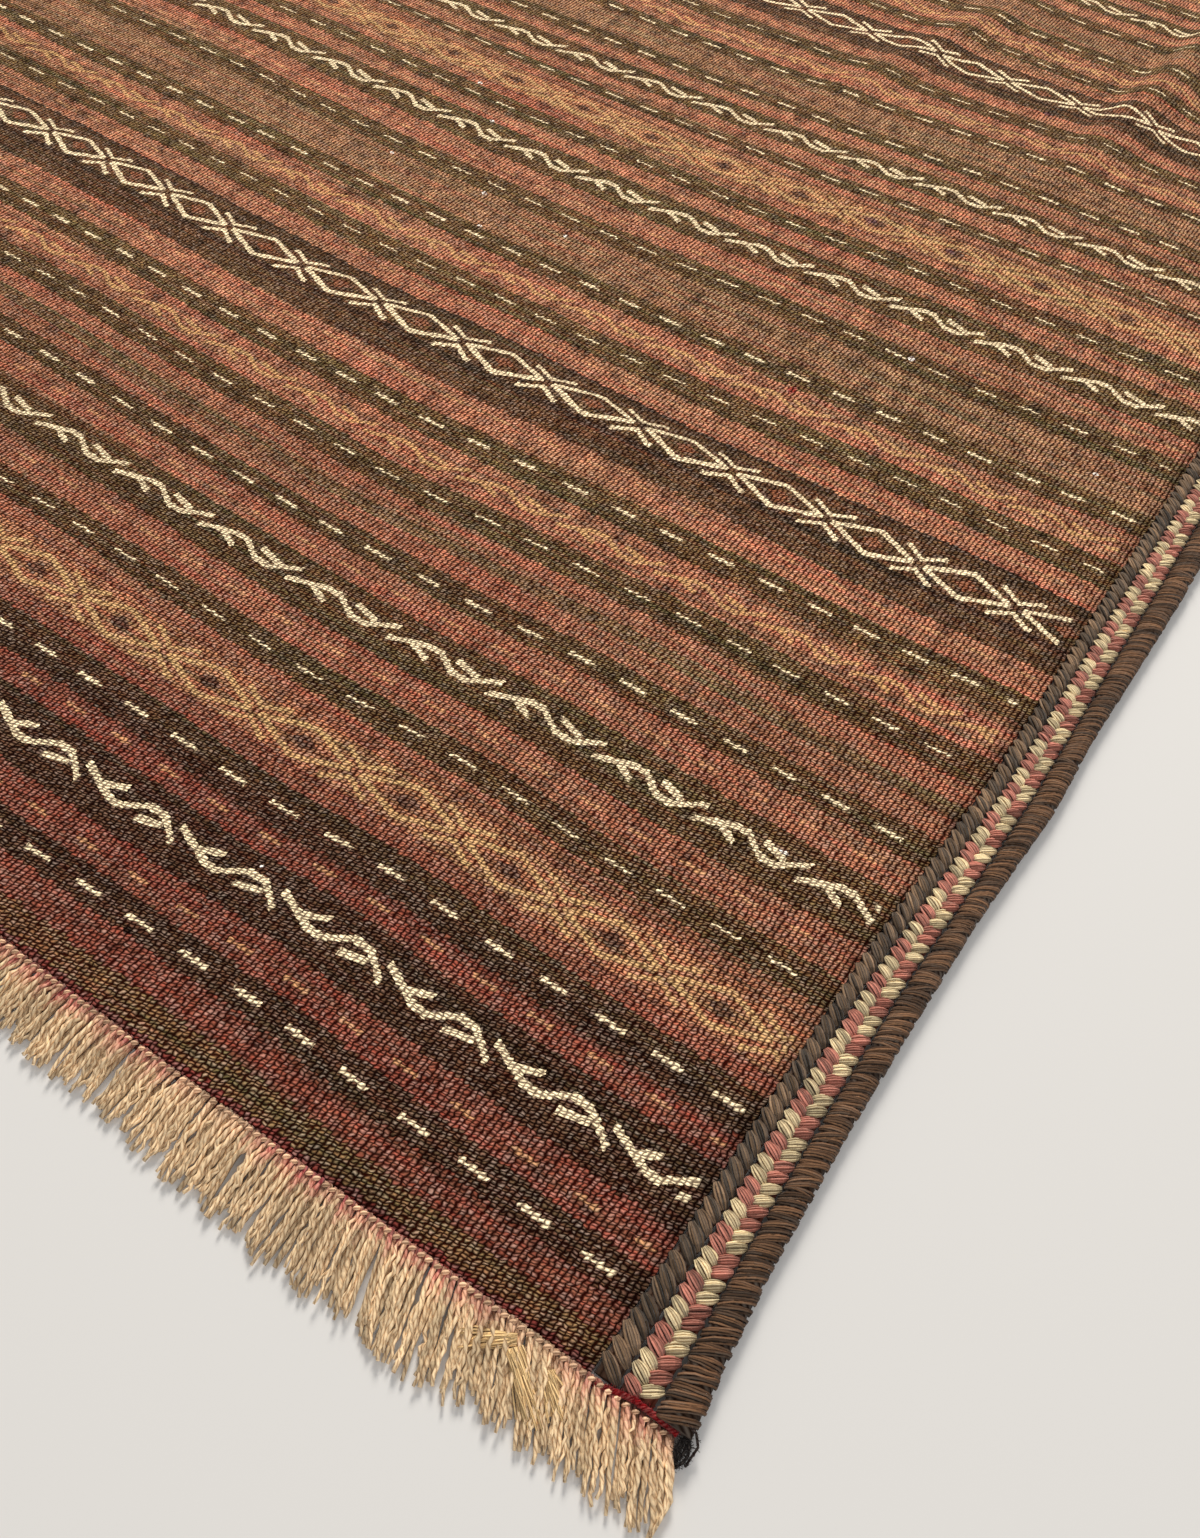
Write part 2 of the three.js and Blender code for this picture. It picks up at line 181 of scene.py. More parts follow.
# mean colours of the yarns, as sRGB bytes
CREAM = (230, 211, 172)
GOLD = (200, 166, 112)
STRAW = (200, 160, 104)
OCHRE = (196, 150, 104)
INK = (60, 40, 34)
RUST_EYE = (150, 92, 64)
STITCH_CREAM, STITCH_ROSE, CHEVRON_BASE = (248, 227, 180), (204, 132, 114), (120, 62, 46)
OVERCAST_YARN, OVERCAST_BASE = (112, 90, 68), (78, 56, 42)
CORD_YARN, CORD_CORE = (112, 82, 58), (48, 33, 23)
FRINGE_TAN, FRINGE_PINK, LOOSE_FIBRE = (248, 218, 174), (214, 88, 96), (240, 204, 146)
TWINE_BEAD, TWINE_STRIP = (240, 198, 160), (84, 34, 30)
BINDING_YARN, BINDING_FUZZ = (128, 10, 18), (140, 12, 22)
TUFT_YARN, TUFT_FUZZ = (30, 24, 26), (34, 28, 30)
LOOP_YARN, LOOP_FUZZ = (44, 30, 28), (50, 36, 34)

# colours that multiply a colour: dyes for rosy and shady stretches, and painted shade in the depths between
# beads and between strands
ROSY, SHADY = (1.14, 0.76, 0.82), (0.58, 0.68, 0.62)
PAINTED_SHADE_BETWEEN_BEADS, PAINTED_SHADE_BETWEEN_STRANDS = (0.14, 0.02, 0.004), (0.34, 0.22, 0.16)

DASH, FLECK, ZIGZAG_DOWN, ZIGZAG, LATTICE, LATTICE_WIDE, DIAMOND, WAVE = range(8)
# ground, period in pitches, vertical gain, share that is dash, whether zigzag or diamond, then the thread's
# colour, its strength and the eye's colour
MOTIFS = {
    DASH: ("dark", 11.75, 1.0, 0.50, 0, 0, CREAM, 1.0, INK),
    FLECK: ("red", 11.75, 1.0, 0.42, 0, 0, OCHRE, 0.62, INK),
    ZIGZAG_DOWN: ("dark", 22.9, -1.0, 0, 1, 0, CREAM, 1.0, INK),
    ZIGZAG: ("dark", 23.5, 1.0, 0, 1, 0, CREAM, 1.0, INK),
    LATTICE: ("amber", 22.8, 1.12, 0, 0, 1, GOLD, 0.66, INK),
    LATTICE_WIDE: ("amber", 23.4, 1.12, 0, 0, 1, GOLD, 0.62, INK),
    DIAMOND: ("brown", 23.5, 1.0, 0, 0, 1, CREAM, 1.0, RUST_EYE),
    WAVE: ("red", 23.45, 1.15, 0, 1, 0, STRAW, 0.66, INK),
}
NO_MOTIF = (DASH, -900.0, 0.0)

# bands from the front end: first v and ground, or first v, motif, v of its middle and u of its anchor
BANDS = [
    (49.5, "maroon"), (50.6, "olive"), (55.0, "red"), (60.5, DASH, 63.2, -23.9), (66.6, FLECK, 69.6, -19.0),
    (73.5, ZIGZAG_DOWN, 80.1, -22.85), (86.0, FLECK, 89.3, -18.7), (91.8, DASH, 95.7, -21.1), (99.9, "red"),
    (103.2, "faint"), (104.0, LATTICE, 109.3, -31.1), (115.2, "faint"), (115.9, "red"),
    (119.3, DASH, 122.5, -26.8), (126.0, FLECK, 130.2, -27.3), (134.0, ZIGZAG, 140.9, -22.05),
    (146.8, FLECK, 150.5, -26.0), (154.5, DASH, 157.8, -24.5), (161.5, "red"), (167.0, "moss"),
    (171.0, "red"), (176.0, DASH, 180.2, -25.8), (184.0, WAVE, 189.6, -38.45), (195.0, DASH, 199.5, -17.5),
    (203.0, FLECK, 208.2, -30.0), (211.0, "brown"), (217.6, "line"), (219.4, DIAMOND, 224.5, -41.3),
    (233.0, "line"), (234.0, FLECK, 238.5, -26.0), (241.5, DASH, 246.0, -20.4), (250.0, WAVE, 255.0, -33.0),
    (260.5, DASH, 264.5, -21.0), (268.0, "taupe"), (281.0, DASH, 285.0, -18.4),
    (288.5, FLECK, 292.0, -20.0), (297.0, ZIGZAG, 303.0, -40.7), (309.0, FLECK, 311.6, -24.0),
    (315.0, DASH, 318.0, -30.0), (322.0, "red"), (325.0, "faint"), (325.8, LATTICE_WIDE, 331.0, -25.5),
    (337.0, "faint"), (337.8, "red"), (341.0, DASH, 343.6, -22.0), (346.0, FLECK, 349.3, -26.0),
    (352.5, ZIGZAG, 357.5, -37.95), (363.0, FLECK, 365.6, -22.0), (368.5, DASH, 371.5, -28.2),
    (375.0, "taupe"), (387.0, DASH, 389.8, -28.2), (393.0, WAVE, 399.0, -36.0), (405.0, DASH, 409.0, -24.0),
    (413.0, FLECK, 416.5, -21.0), (420.5, "brown"), (425.4, "line"), (427.0, DIAMOND, 433.0, -42.0),
    (440.6, "line"), (441.4, FLECK, 444.5, -24.0), (447.5, DASH, 450.5, -25.0), (454.0, WAVE, 458.5, -30.0),
    (463.5, DASH, 467.5, -23.4), (471.5, "taupe"), (484.5, DASH, 488.0, -29.0),
    (491.5, FLECK, 495.0, -23.0), (498.5, ZIGZAG, 503.5, -28.0), (509.0, FLECK, 512.0, -21.0),
    (515.5, DASH, 519.0, -25.0), (523.0, "red"), (528.6, "faint"), (529.4, LATTICE_WIDE, 535.0, -33.0),
    (540.8, "faint"), (541.6, "red"), (547.0, DASH, 551.0, -24.0), (555.0, FLECK, 559.0, -22.0),
    (563.0, ZIGZAG, 569.0, -31.0), (575.0, FLECK, 578.6, -25.0), (582.5, DASH, 586.0, -27.0),
    (590.0, "taupe"), (603.0, DASH, 606.5, -22.0), (610.0, WAVE, 616.0, -35.0), (621.5, DASH, 625.0, -26.0),
    (629.0, FLECK, 632.6, -24.0), (636.5, "brown"), (641.6, "line"), (643.2, DIAMOND, 649.0, -37.0),
    (657.0, "line"), (658.0, FLECK, 661.6, -21.0), (665.5, DASH, 669.0, -25.0), (673.0, WAVE, 678.6, -32.0),
    (684.5, DASH, 688.0, -23.0), (692.0, "taupe"), (705.0, DASH, 708.6, -27.0),
    (712.0, FLECK, 715.6, -22.0), (719.5, ZIGZAG, 725.4, -29.0), (731.5, FLECK, 735.0, -24.0),
    (738.5, DASH, 742.0, -26.0), (745.5, "red"), (748.6, "faint"), (749.4, LATTICE_WIDE, 755.0, -35.0),
    (760.6, "faint"), (761.4, "red"), (765.0, DASH, 768.6, -23.0), (772.5, FLECK, 776.0, -25.0),
    (779.5, ZIGZAG_DOWN, 785.5, -30.0), (792.0, "red"), (797.0, "olive"),
]
BACK_V = FRONT_V + 2 * HALF_LENGTH / PITCH

# ground colours near the front end and further in, as sRGB bytes, how much the beads show, and their height;
# the change from the darker near colours to the lighter far ones is partly painted light and shade, partly
# the yarn's own colour
GROUNDS = {
    "red": ((112, 63, 48), (154, 106, 78), 0.25, 0.0),
    "faint": ((92, 52, 40), (126, 86, 62), 0.35, 0.0),
    "dark": ((75, 54, 38), (106, 86, 54), 0.9, 0.35),
    "olive": ((104, 82, 54), (122, 98, 64), 1.0, 0.3),
    "brown": ((78, 57, 40), (94, 70, 46), 0.45, 0.2),
    "line": ((54, 38, 26), (68, 50, 34), 0.6, 0.1),
    "taupe": ((112, 87, 62), (138, 105, 75), 0.3, 0.05),
    "moss": ((98, 78, 54), (118, 94, 64), 0.3, 0.05),
    "amber": ((132, 90, 66), (160, 116, 80), 0.3, 0.0),
    "maroon": ((92, 42, 36), (110, 60, 46), 0.5, 0.0),
}

# strokes of one spurred zigzag, in pitches from its start and its middle line
ZIGZAG_STROKES = [
    (0.0, -1.9, 7.8, 1.3),
    (7.8, 1.35, 10.7, 1.4),
    (10.7, 1.4, 15.3, -1.7),
    (15.3, -1.7, 18.9, -1.7),
    (18.9, -1.7, 23.9, 1.9),
    (-4.3, -1.7, 0.8, 1.9),
    (5.5, -0.2, 9.2, -1.9),
    (14.8, 1.6, 19.8, 0.2),
]

# small flecks on the cloth: u, v as seen from above, reach along u and along v, colour, strength
WHITE, RED_DYE, PLUM, SHADOW = (250, 246, 236), (132, 14, 22), (74, 40, 62), (24, 10, 6)
MARKS = [
    (-85.0, 288.0, 1.1, 1.0, WHITE, 0.9),
    (-243.0, 322.0, 0.9, 0.9, WHITE, 0.8),
    (-227.6, 307.4, 0.8, 0.7, WHITE, 0.8),
    (-207.4, 277.0, 0.9, 0.7, WHITE, 0.8),
    (-179.6, 275.0, 0.8, 0.7, WHITE, 0.8),
    (-199.0, 264.0, 0.8, 0.7, WHITE, 0.8),
    (-238.0, 276.0, 0.8, 0.7, WHITE, 0.8),
    (-32.0, 277.6, 0.8, 0.8, WHITE, 0.8),
    (-38.0, 142.5, 1.2, 0.6, WHITE, 0.8),
    (-109.5, 84.5, 0.5, 0.5, WHITE, 0.9),
    # painted shadow: one small dark speck
    (-118.5, 62.0, 1.0, 0.8, SHADOW, 0.9),
    (-102.0, 258.4, 1.3, 1.9, RED_DYE, 0.8),
    (-167.0, 416.7, 2.0, 1.4, RED_DYE, 0.45),
    (-106.7, 423.3, 1.6, 1.4, PLUM, 0.7),
    (-121.0, 335.8, 2.2, 1.7, PLUM, 0.65),
    (-98.0, 336.8, 1.5, 1.3, PLUM, 0.6),
]


def linear(colour):
    """sRGB bytes as linear numbers."""
    share = np.asarray(colour, float) / 255
    return np.where(share <= 0.04045, share / 12.92, ((share + 0.055) / 1.055) ** 2.4)


def points(x, y, z):
    """Points from x, y and z, each one number or many."""
    return np.stack(np.broadcast_arrays(x, y, z), -1)


def through(knots, count):
    """Points at even steps along straight lines between knots."""
    fine = np.linspace(0, len(knots) - 1, count)
    return np.stack([np.interp(fine, range(len(knots)), axis) for axis in np.array(knots).T], -1)


def side_line(column, y):
    """x of one line of the right side finish at y, from the rug's middle."""
    return HALF_WIDTH + np.interp(HALF_LENGTH - np.abs(y), SIDE_FINISH[:, 0], SIDE_FINISH[:, column])


def side_band(inner_line, outer_line, y):
    """x of both sides of a band of the side finish at y."""
    return side_line(inner_line, y), side_line(outer_line, y) - GAP


def end_waver(x):
    """How far the front end of the cloth runs past its straight line."""
    return 1.6 * np.cos(3 * math.pi * x / (2 * HALF_WIDTH)) ** 2


def ripple_height(x, y):
    """Height of the low ripples above the floor."""
    height = np.zeros(np.broadcast(x, y).shape)
    for from_x, from_y, to_x, to_y, peak_height, peak, left, right in RIPPLES:
        along = (y - from_y) / (to_y - from_y)
        stretch = np.where(along < peak, peak, 1 - peak)
        rise = np.where((along > 0) & (along < 1), np.cos(math.pi / 2 * (along - peak) / stretch) ** 2, 0)
        offset = x - (from_x + (to_x - from_x) * along)
        across = offset / np.where(offset < 0, left, right)
        bulge = np.where(np.abs(across) < 1, np.cos(math.pi / 2 * across) ** 2, 0)
        height = height + peak_height * rise * bulge
    return height


def to_u(x):
    return (x - EDGE_X) / PITCH


def smoothed(u, pairs):
    """Values at u between pairs of u and value, with the corners softened."""
    stations, values = np.array(pairs, float).T
    return np.mean([np.interp(u + shift, stations, values) for shift in (-8, -4, 0, 4, 8)], axis=0)


def weft_bow(u, v):
    """Wander of the weft rows v at the places u, in pitches."""
    falloff = np.clip((u + 555) / 200, 0, 1)
    rows = np.array([smoothed(u, pairs) * falloff for pairs in ROW_WANDER.values()])
    return np.array([np.interp(v, list(ROW_WANDER), column) for column in rows.T]).T


def woven_v(u, seen_v):
    """The row whose wander brings it to seen_v at u."""
    v = seen_v
    for _ in range(5):
        v = seen_v - weft_bow(np.array([u]), np.array([v]))[0, 0]
    return v


def quads(near, far):
    """Four-sided faces between near and far rows of point numbers."""
    return np.stack([near[..., :-1], near[..., 1:], far[..., 1:], far[..., :-1]], -1).reshape(-1, 4)


def build_mesh(name, places, faces, material):
    """A smooth mesh object from places in millimetres round the middle, and faces of several sizes."""
    mesh = bpy.data.meshes.new(name)
    sizes = np.concatenate([np.full(len(f), f.shape[1]) for f in faces])
    loops = np.concatenate([f.ravel() for f in faces])
    mesh.vertices.add(len(places))
    placed = places * MM + np.array([*MIDDLE, 0])
    mesh.vertices.foreach_set("co", placed.astype(np.float32).ravel())
    mesh.loops.add(len(loops))
    mesh.loops.foreach_set("vertex_index", loops.astype(np.int32))
    mesh.polygons.add(len(sizes))
    starts = np.concatenate([[0], np.cumsum(sizes)[:-1]])
    mesh.polygons.foreach_set("loop_start", starts.astype(np.int32))
    mesh.update(calc_edges=True)
    mesh.shade_smooth()
    mesh.materials.append(material)
    piece = bpy.data.objects.new(name, mesh)
    bpy.context.scene.collection.objects.link(piece)
    return piece


def store(mesh, name, kind, domain, values):
    """Writes one attribute; colours get an alpha of 1 if they have none."""
    values = np.asarray(values, np.float32)
    if kind == "FLOAT_COLOR" and values.shape[1] == 3:
        values = np.hstack([values, np.ones((len(values), 1), np.float32)])
    attribute = mesh.attributes.new(name, kind, domain)
    field = {"FLOAT": "value", "FLOAT_VECTOR": "vector", "FLOAT_COLOR": "color"}[kind]
    attribute.data.foreach_set(field, values.ravel())


def store_uv(mesh, name, values):
    layer = mesh.uv_layers.new(name=name)
    layer.data.foreach_set("uv", np.asarray(values, np.float32).ravel())


def feed(tree, value, target):
    """Gives a node's input a number of the material, another node's output or a plain value."""
    value = value.socket if isinstance(value, Field) else value
    if isinstance(value, bpy.types.NodeSocket):
        tree.links.new(value, target)
    elif isinstance(value, (int, float)):
        target.default_value = value
    else:
        target.default_value = (*value, 1.0)


def calculation(operation):
    """A method that works out one operation on a number of the material."""
    return lambda field, *others: field.math(operation, *others)


class Field:
    """A number that the material works out at each point."""

    __add__ = calculation("ADD")
    __sub__ = calculation("SUBTRACT")
    __mul__ = calculation("MULTIPLY")
    __truediv__ = calculation("DIVIDE")
    __lt__ = calculation("LESS_THAN")
    __gt__ = calculation("GREATER_THAN")
    __abs__ = calculation("ABSOLUTE")
    floor = calculation("FLOOR")
    fract = calculation("FRACT")
    least = calculation("MINIMUM")
    most = calculation("MAXIMUM")
    power = calculation("POWER")

    def __init__(self, tree, socket):
        self.tree = tree
        self.socket = socket

    def math(self, operation, *others):
        node = self.tree.nodes.new("ShaderNodeMath")
        node.operation = operation
        for value, target in zip((self, *others), node.inputs):
            feed(self.tree, value, target)
        return Field(self.tree, node.outputs[0])

    def __rsub__(self, other):
        return self * -1.0 + other


class Paint:
    """Short calls for the nodes of one material."""

    def __init__(self, name):
        self.material = bpy.data.materials.new(name)
        self.material.use_nodes = True
        self.tree = self.material.node_tree
        self.shader = self.tree.nodes["Principled BSDF"]

    def node(self, kind, inputs, **settings):
        """The outputs of a new node with these inputs and settings."""
        node = self.tree.nodes.new("ShaderNode" + kind)
        for name, value in settings.items():
            setattr(node, name, value)
        for place, value in inputs.items():
            feed(self.tree, value, node.inputs[place])
        return node.outputs

    def attribute(self, name, output="Fac"):
        socket = self.node("Attribute", {}, attribute_name=name)[output]
        return Field(self.tree, socket) if output in ("Fac", "Alpha") else socket

    def parts(self, vector):
        return [Field(self.tree, output) for output in self.node("SeparateXYZ", {0: vector})]

    def uv(self, name):
        return self.parts(self.node("UVMap", {}, uv_map=name)[0])[:2]

    def plane(self, x, y):
        return self.node("CombineXYZ", {0: x, 1: y})[0]

    def noise(self, x, y, detail=1.0):
        inputs = {"Vector": self.plane(x, y), "Scale": 1.0, "Detail": detail}
        return Field(self.tree, self.node("TexNoise", inputs, noise_dimensions="2D")[0])

    def chance(self, x, y):
        """Three random numbers for each cell."""
        inputs = {"Vector": self.plane(x, y)}
        return self.parts(self.node("TexWhiteNoise", inputs, noise_dimensions="2D")["Color"])

    def mix(self, factor, first, second, blend="MIX"):
        inputs = {0: factor, 6: first, 7: second}
        return self.node("Mix", inputs, data_type="RGBA", blend_type=blend, clamp_factor=False)[2]

    def multiplied(self, colour, dye):
        return self.mix(1.0, colour, dye, "MULTIPLY")

    def scaled(self, colour, factor):
        return self.node("VectorMath", {0: colour, "Scale": factor}, operation="SCALE")[0]

    def bump(self, height, distance):
        normal = self.node("Bump", {"Height": height, "Distance": distance})[0]
        feed(self.tree, normal, self.shader.inputs["Normal"])

    def wool(self, colour, roughness, sheen):
        """Gives the shader its colour and the dull surface of wool, more or less downy."""
        values = {
            "Base Color": colour, "Roughness": roughness, "Specular IOR Level": 0.03,
            "Sheen Weight": sheen, "Sheen Roughness": 0.5,
        }
        for name, value in values.items():
            feed(self.tree, value, self.shader.inputs[name])


def motif_masks(paint, column, across, to_bead):
    """How much of the bead is motif thread, and how much is the eye of a diamond."""
    period, anchor, gain = paint.parts(paint.attribute("motif_form", "Vector"))
    dash, zigzag, diamond = paint.parts(paint.attribute("motif_kind", "Vector"))
    offset = (paint.attribute("motif_offset") + to_bead * 0.45) * gain
    drift = paint.attribute("motif_drift")
    place = ((column + 0.5 + across * 0.6 + drift - anchor) / period + 0.5).fract() * period
    from_middle = abs(place - period * 0.5)
    depth = abs(offset)
    bead_depth = abs(paint.attribute("motif_offset") + to_bead)
    mask = (from_middle < dash * period * 0.5) * (bead_depth < 0.34)
    strokes = None
    for start_u, start_v, end_u, end_v in ZIGZAG_STROKES:
        slope = (end_v - start_v) / (end_u - start_u)
        line = (place - start_u) * slope + start_v
        near = abs(offset - line) < 0.76
        stroke = near * (place > start_u - 0.3) * (place < end_u + 0.3)
        strokes = stroke if strokes is None else strokes.most(stroke)
    outline = (from_middle * -0.42 + 4.35).least(4.1)
    outlined = (abs(depth - outline) < 0.72) * (from_middle < 10.5)
    from_crossing = period * 0.5 - from_middle
    barb = (from_crossing * 0.62 + 1.75).least(4.4)
    barbed = (abs(depth - barb) < 0.66) * (from_crossing < 5.2)
    mask = mask + strokes * zigzag + outlined.most(barbed) * diamond
    eye = ((from_middle / 2.9 + depth / 1.9) < 1.0) * diamond
    return mask * (column < LAST_MOTIF_U) * (column > FIRST_MOTIF_U), eye


def add_marks(paint, colour, u, v, ragged):
    """Small specks on the cloth: lint, dye stains and one painted shadow."""
    for mark_u, seen_v, reach_u, reach_v, mark, strength in MARKS:
        mark_v = woven_v(mark_u, seen_v)
        away = abs(u - mark_u) / reach_u + abs(v - mark_v) / reach_v + ragged
        colour = paint.mix((away < 1.0) * strength, colour, linear(mark))
    return colour


def dye_ground(paint, ground, flat_u, v, mottle, chance):
    """Uneven dye: light and dark beads, rosy stretches and shady rows."""
    streak = paint.noise(flat_u * 0.012, v * 0.5, 2.0)
    dye = paint.noise(flat_u * 0.02, v * 0.9 + 7.0, 2.0)
    ribs = paint.noise(flat_u * 0.3, v * 0.11 + 90.0, 1.0)
    heather = paint.noise(flat_u * 0.22, v * 0.3 + 130.0, 3.0) - 0.5
    heather = heather * ((v - 110.0) / 90.0).most(0.0).least(1.0)
    tone = streak * 0.65 + mottle * 0.35 + chance * 0.4 + ribs * 1.15 + heather * 1.7 - 0.12
    ground = paint.scaled(ground, tone)
    ground = paint.mix(((dye - 0.42) * 3.0).most(-0.6).least(1.2), ground, paint.multiplied(ground, ROSY))
    stripe = paint.noise(flat_u * 0.007, v * 0.42 + 50.0, 1.0)
    return paint.mix(((stripe - 0.56) * 6.0).most(0.0).least(0.75), ground, paint.multiplied(ground, SHADY))


def weave_material():
    """Weft beads over the warps, with the bands and wrapped motifs counted bead by bead, and painted light
    and shade on each bead.
    """
    paint = Paint("weave")
    flat_u, v = paint.uv("weave")
    wander = paint.noise(flat_u * 0.05, v * 0.035, 2.0)
    knock = paint.noise(flat_u * 0.8, v * 1.1, 1.0)
    tug = paint.noise(flat_u * 0.55 + 31.0, v * 0.9, 1.0)
    u = flat_u + (wander - 0.5) * 1.2 + (knock - 0.5) * 0.7
    column = u.floor()
    parity = column - (column * 0.5).floor() * 2.0
    pulled = v + (tug - 0.5) * 0.75
    place = pulled / WEFT_HEIGHT + parity * 0.5 - (u - column - 0.5) * WEFT_SLANT
    row = place.floor()
    to_bead = (row + 0.5 - parity * 0.5) * WEFT_HEIGHT - v
    chance_a, chance_b, chance_c = paint.chance(column, row)
    sideways, lengthways, shine = paint.chance(column + 0.37, row + 0.71)
    across = u - column - 0.5 + (sideways - 0.5) * 0.2
    along = place - row - 0.5 + (lengthways - 0.5) * 0.24

    beyond = (paint.attribute("band_offset") + to_bead + (chance_a - 0.5) * 0.5) > 0.0
    ground = paint.mix(
        beyond, paint.attribute("band_below", "Color"), paint.attribute("band_above", "Color")
    )
    below = paint.attribute("band_below", "Alpha")
    above = paint.attribute("band_above", "Alpha")
    beadiness = below + (above - below) * beyond

    mask, eye = motif_masks(paint, column, across, to_bead)
    mottle = paint.noise(flat_u * 0.12, v * 0.2, 2.0)
    ground = dye_ground(paint, ground, flat_u, v, mottle, chance_b)
    ground = paint.mix(eye * 0.75, ground, paint.attribute("motif_eye", "Color"))
    worn = mask * (chance_c * 0.3 + 0.72) * paint.attribute("motif_thread", "Alpha")
    thread = paint.mix(worn, ground, paint.attribute("motif_thread", "Color"))
    thread = add_marks(paint, thread, flat_u, v, (mottle - 0.5) * 0.9)

    groove = (abs(across) * 2.0).least(1.0).power(2.8)
    seam = (abs(along) * 2.0).least(1.0).power(2.2)
    seam_depth = beadiness * 0.5 + 0.42
    height = (groove * -0.92 + 1.0) * (seam * seam_depth * -1.0 + 1.0)
    height = height + (1.0 - height) * worn * 0.45
    # painted light and shade: bead tops lighter, the grooves and seams between beads darker, and a painted
    # highlight near each bead's top
    lit = paint.scaled(thread, height * height * 2.1 + 0.5)
    colour = paint.mix(height.power(1.2), paint.multiplied(thread, PAINTED_SHADE_BETWEEN_BEADS), lit)
    glint = height.power(3.5) * shine * shine * (0.3 - worn * 0.2)
    paint.wool(paint.mix(glint, colour, (1.0, 0.82, 0.7)), 0.95, 0.0)
    paint.bump(height * (mask * 0.35 + 1.0) + mottle * 0.15, 0.0009)
    return paint.material


def yarn_material(name, gap, bump_distance, fibre=0.25):
    """Twisted wool with painted shade between its strands and painted highlights on them: UV map 'strand'
    has millimetres in x and strands in y, 'tint' is each piece's colour.
    """
    paint = Paint(name)
    along, strand = paint.uv("strand")
    index = strand.floor()
    ridge = 1.0 - (abs(strand - index - 0.5) * 2.0).power(2.2)
    chance_a, chance_b, _ = paint.chance(index, (along * 0.16).floor())
    fibres = paint.noise(along * 1.1, strand * 5.0, 2.0)
    tint = paint.attribute("tint", "Color")
    shade = paint.scaled(tint, chance_a * 0.35 + fibres * fibre * 2.4 + (0.95 - fibre * 1.2))
    # painted shade darkens the grooves between strands, gap sets how much light they keep, and a painted
    # highlight lies on each ridge
    colour = paint.mix(ridge * (1.0 - gap) + gap, paint.multiplied(shade, PAINTED_SHADE_BETWEEN_STRANDS), shade)
    glint = ridge.power(3.0) * chance_b * 0.1
    paint.wool(paint.mix(glint, colour, (1.0, 0.88, 0.74)), 0.9, 0.1)
    paint.bump(ridge + fibres * 0.5, bump_distance)
    return paint.material


def row_cells():
    """Half bands: first and last v, the band edge it is measured from, both grounds and the motif."""
    starts = [band[0] for band in BANDS] + [BACK_V]
    motifs = [band[1:] if len(band) > 2 else None for band in BANDS]
    grounds = [MOTIFS[band[1]][0] if len(band) > 2 else band[1] for band in BANDS]
    grounds = [grounds[0], *grounds, grounds[-1]]
    cells = []
    for index, motif in enumerate(motifs):
        start, end = starts[index:index + 2]
        middle = (start + end) / 2
        before, ground, after = grounds[index:index + 3]
        cells.append((start, middle, start, before, ground, motif))
        cells.append((middle, end, end, ground, after, motif))
    return cells


def cell_rows(first, last, edge):
    """v stations inside one half band, with one near its edge for the soft shoulder."""
    shoulder = first + 0.7 if edge == first else last - 0.7
    stations = [first, shoulder, last] if first + 0.3 < shoulder < last - 0.3 else [first, last]
    finer = []
    for a, b in zip(stations[:-1], stations[1:]):
        steps = max(1, math.ceil((b - a) / 2.6))
        finer.extend(a + (b - a) * k / steps for k in range(steps))
    return finer


def ground_colour(name, v):
    near, far, beadiness, _ = GROUNDS[name]
    # darker near the front end and lighter further in: partly painted light and shade, partly the yarn's own
    # colour
    share = np.interp(v, (94.0, 110.0, 165.0, 205.0), (0.0, 0.6, 0.72, 1.0))
    colour = linear(near) * (1 - share) + linear(far) * share
    return [*colour, beadiness]


def cloth_columns():
    """Places across the width, closer together where the ripples are."""
    edges = [-524.0, 190.0, 310.0, 345.0, 450.0, 524.0]
    steps = [42, 21, 4, 21, 7]
    stations = []
    for a, b, count in zip(edges[:-1], edges[1:], steps):
        stations.extend(a + (b - a) * k / count for k in range(count))
    return np.array(stations + edges[-1:])


def cloth_surface(columns, stations):
    """Plan points of the cloth at columns and v stations, as x and y grids."""
    y = (stations - FRONT_V) * PITCH - HALF_LENGTH
    half = side_line(OVERCAST_IN, y) - GAP
    x = columns[None, :] / columns[-1] * half[:, None]
    y = y[:, None] + PITCH * weft_bow(to_u(columns), stations)
    front = np.clip(1 - (stations - FRONT_V) / 8, 0, 1)[:, None]
    return x, y - front * end_waver(x)


def raised_height(cells, stations, cell_of):
    """How far each row stands up, by its ground, with the band edges half way between."""
    heights = []
    for v, c in zip(stations, cell_of):
        first, _, edge, below, above, _ = cells[c]
        own = GROUNDS[above if edge == first else below][-1]
        if abs(v - edge) < 0.01:
            own = (GROUNDS[below][-1] + GROUNDS[above][-1]) / 2
        heights.append(own)
    return np.array(heights)


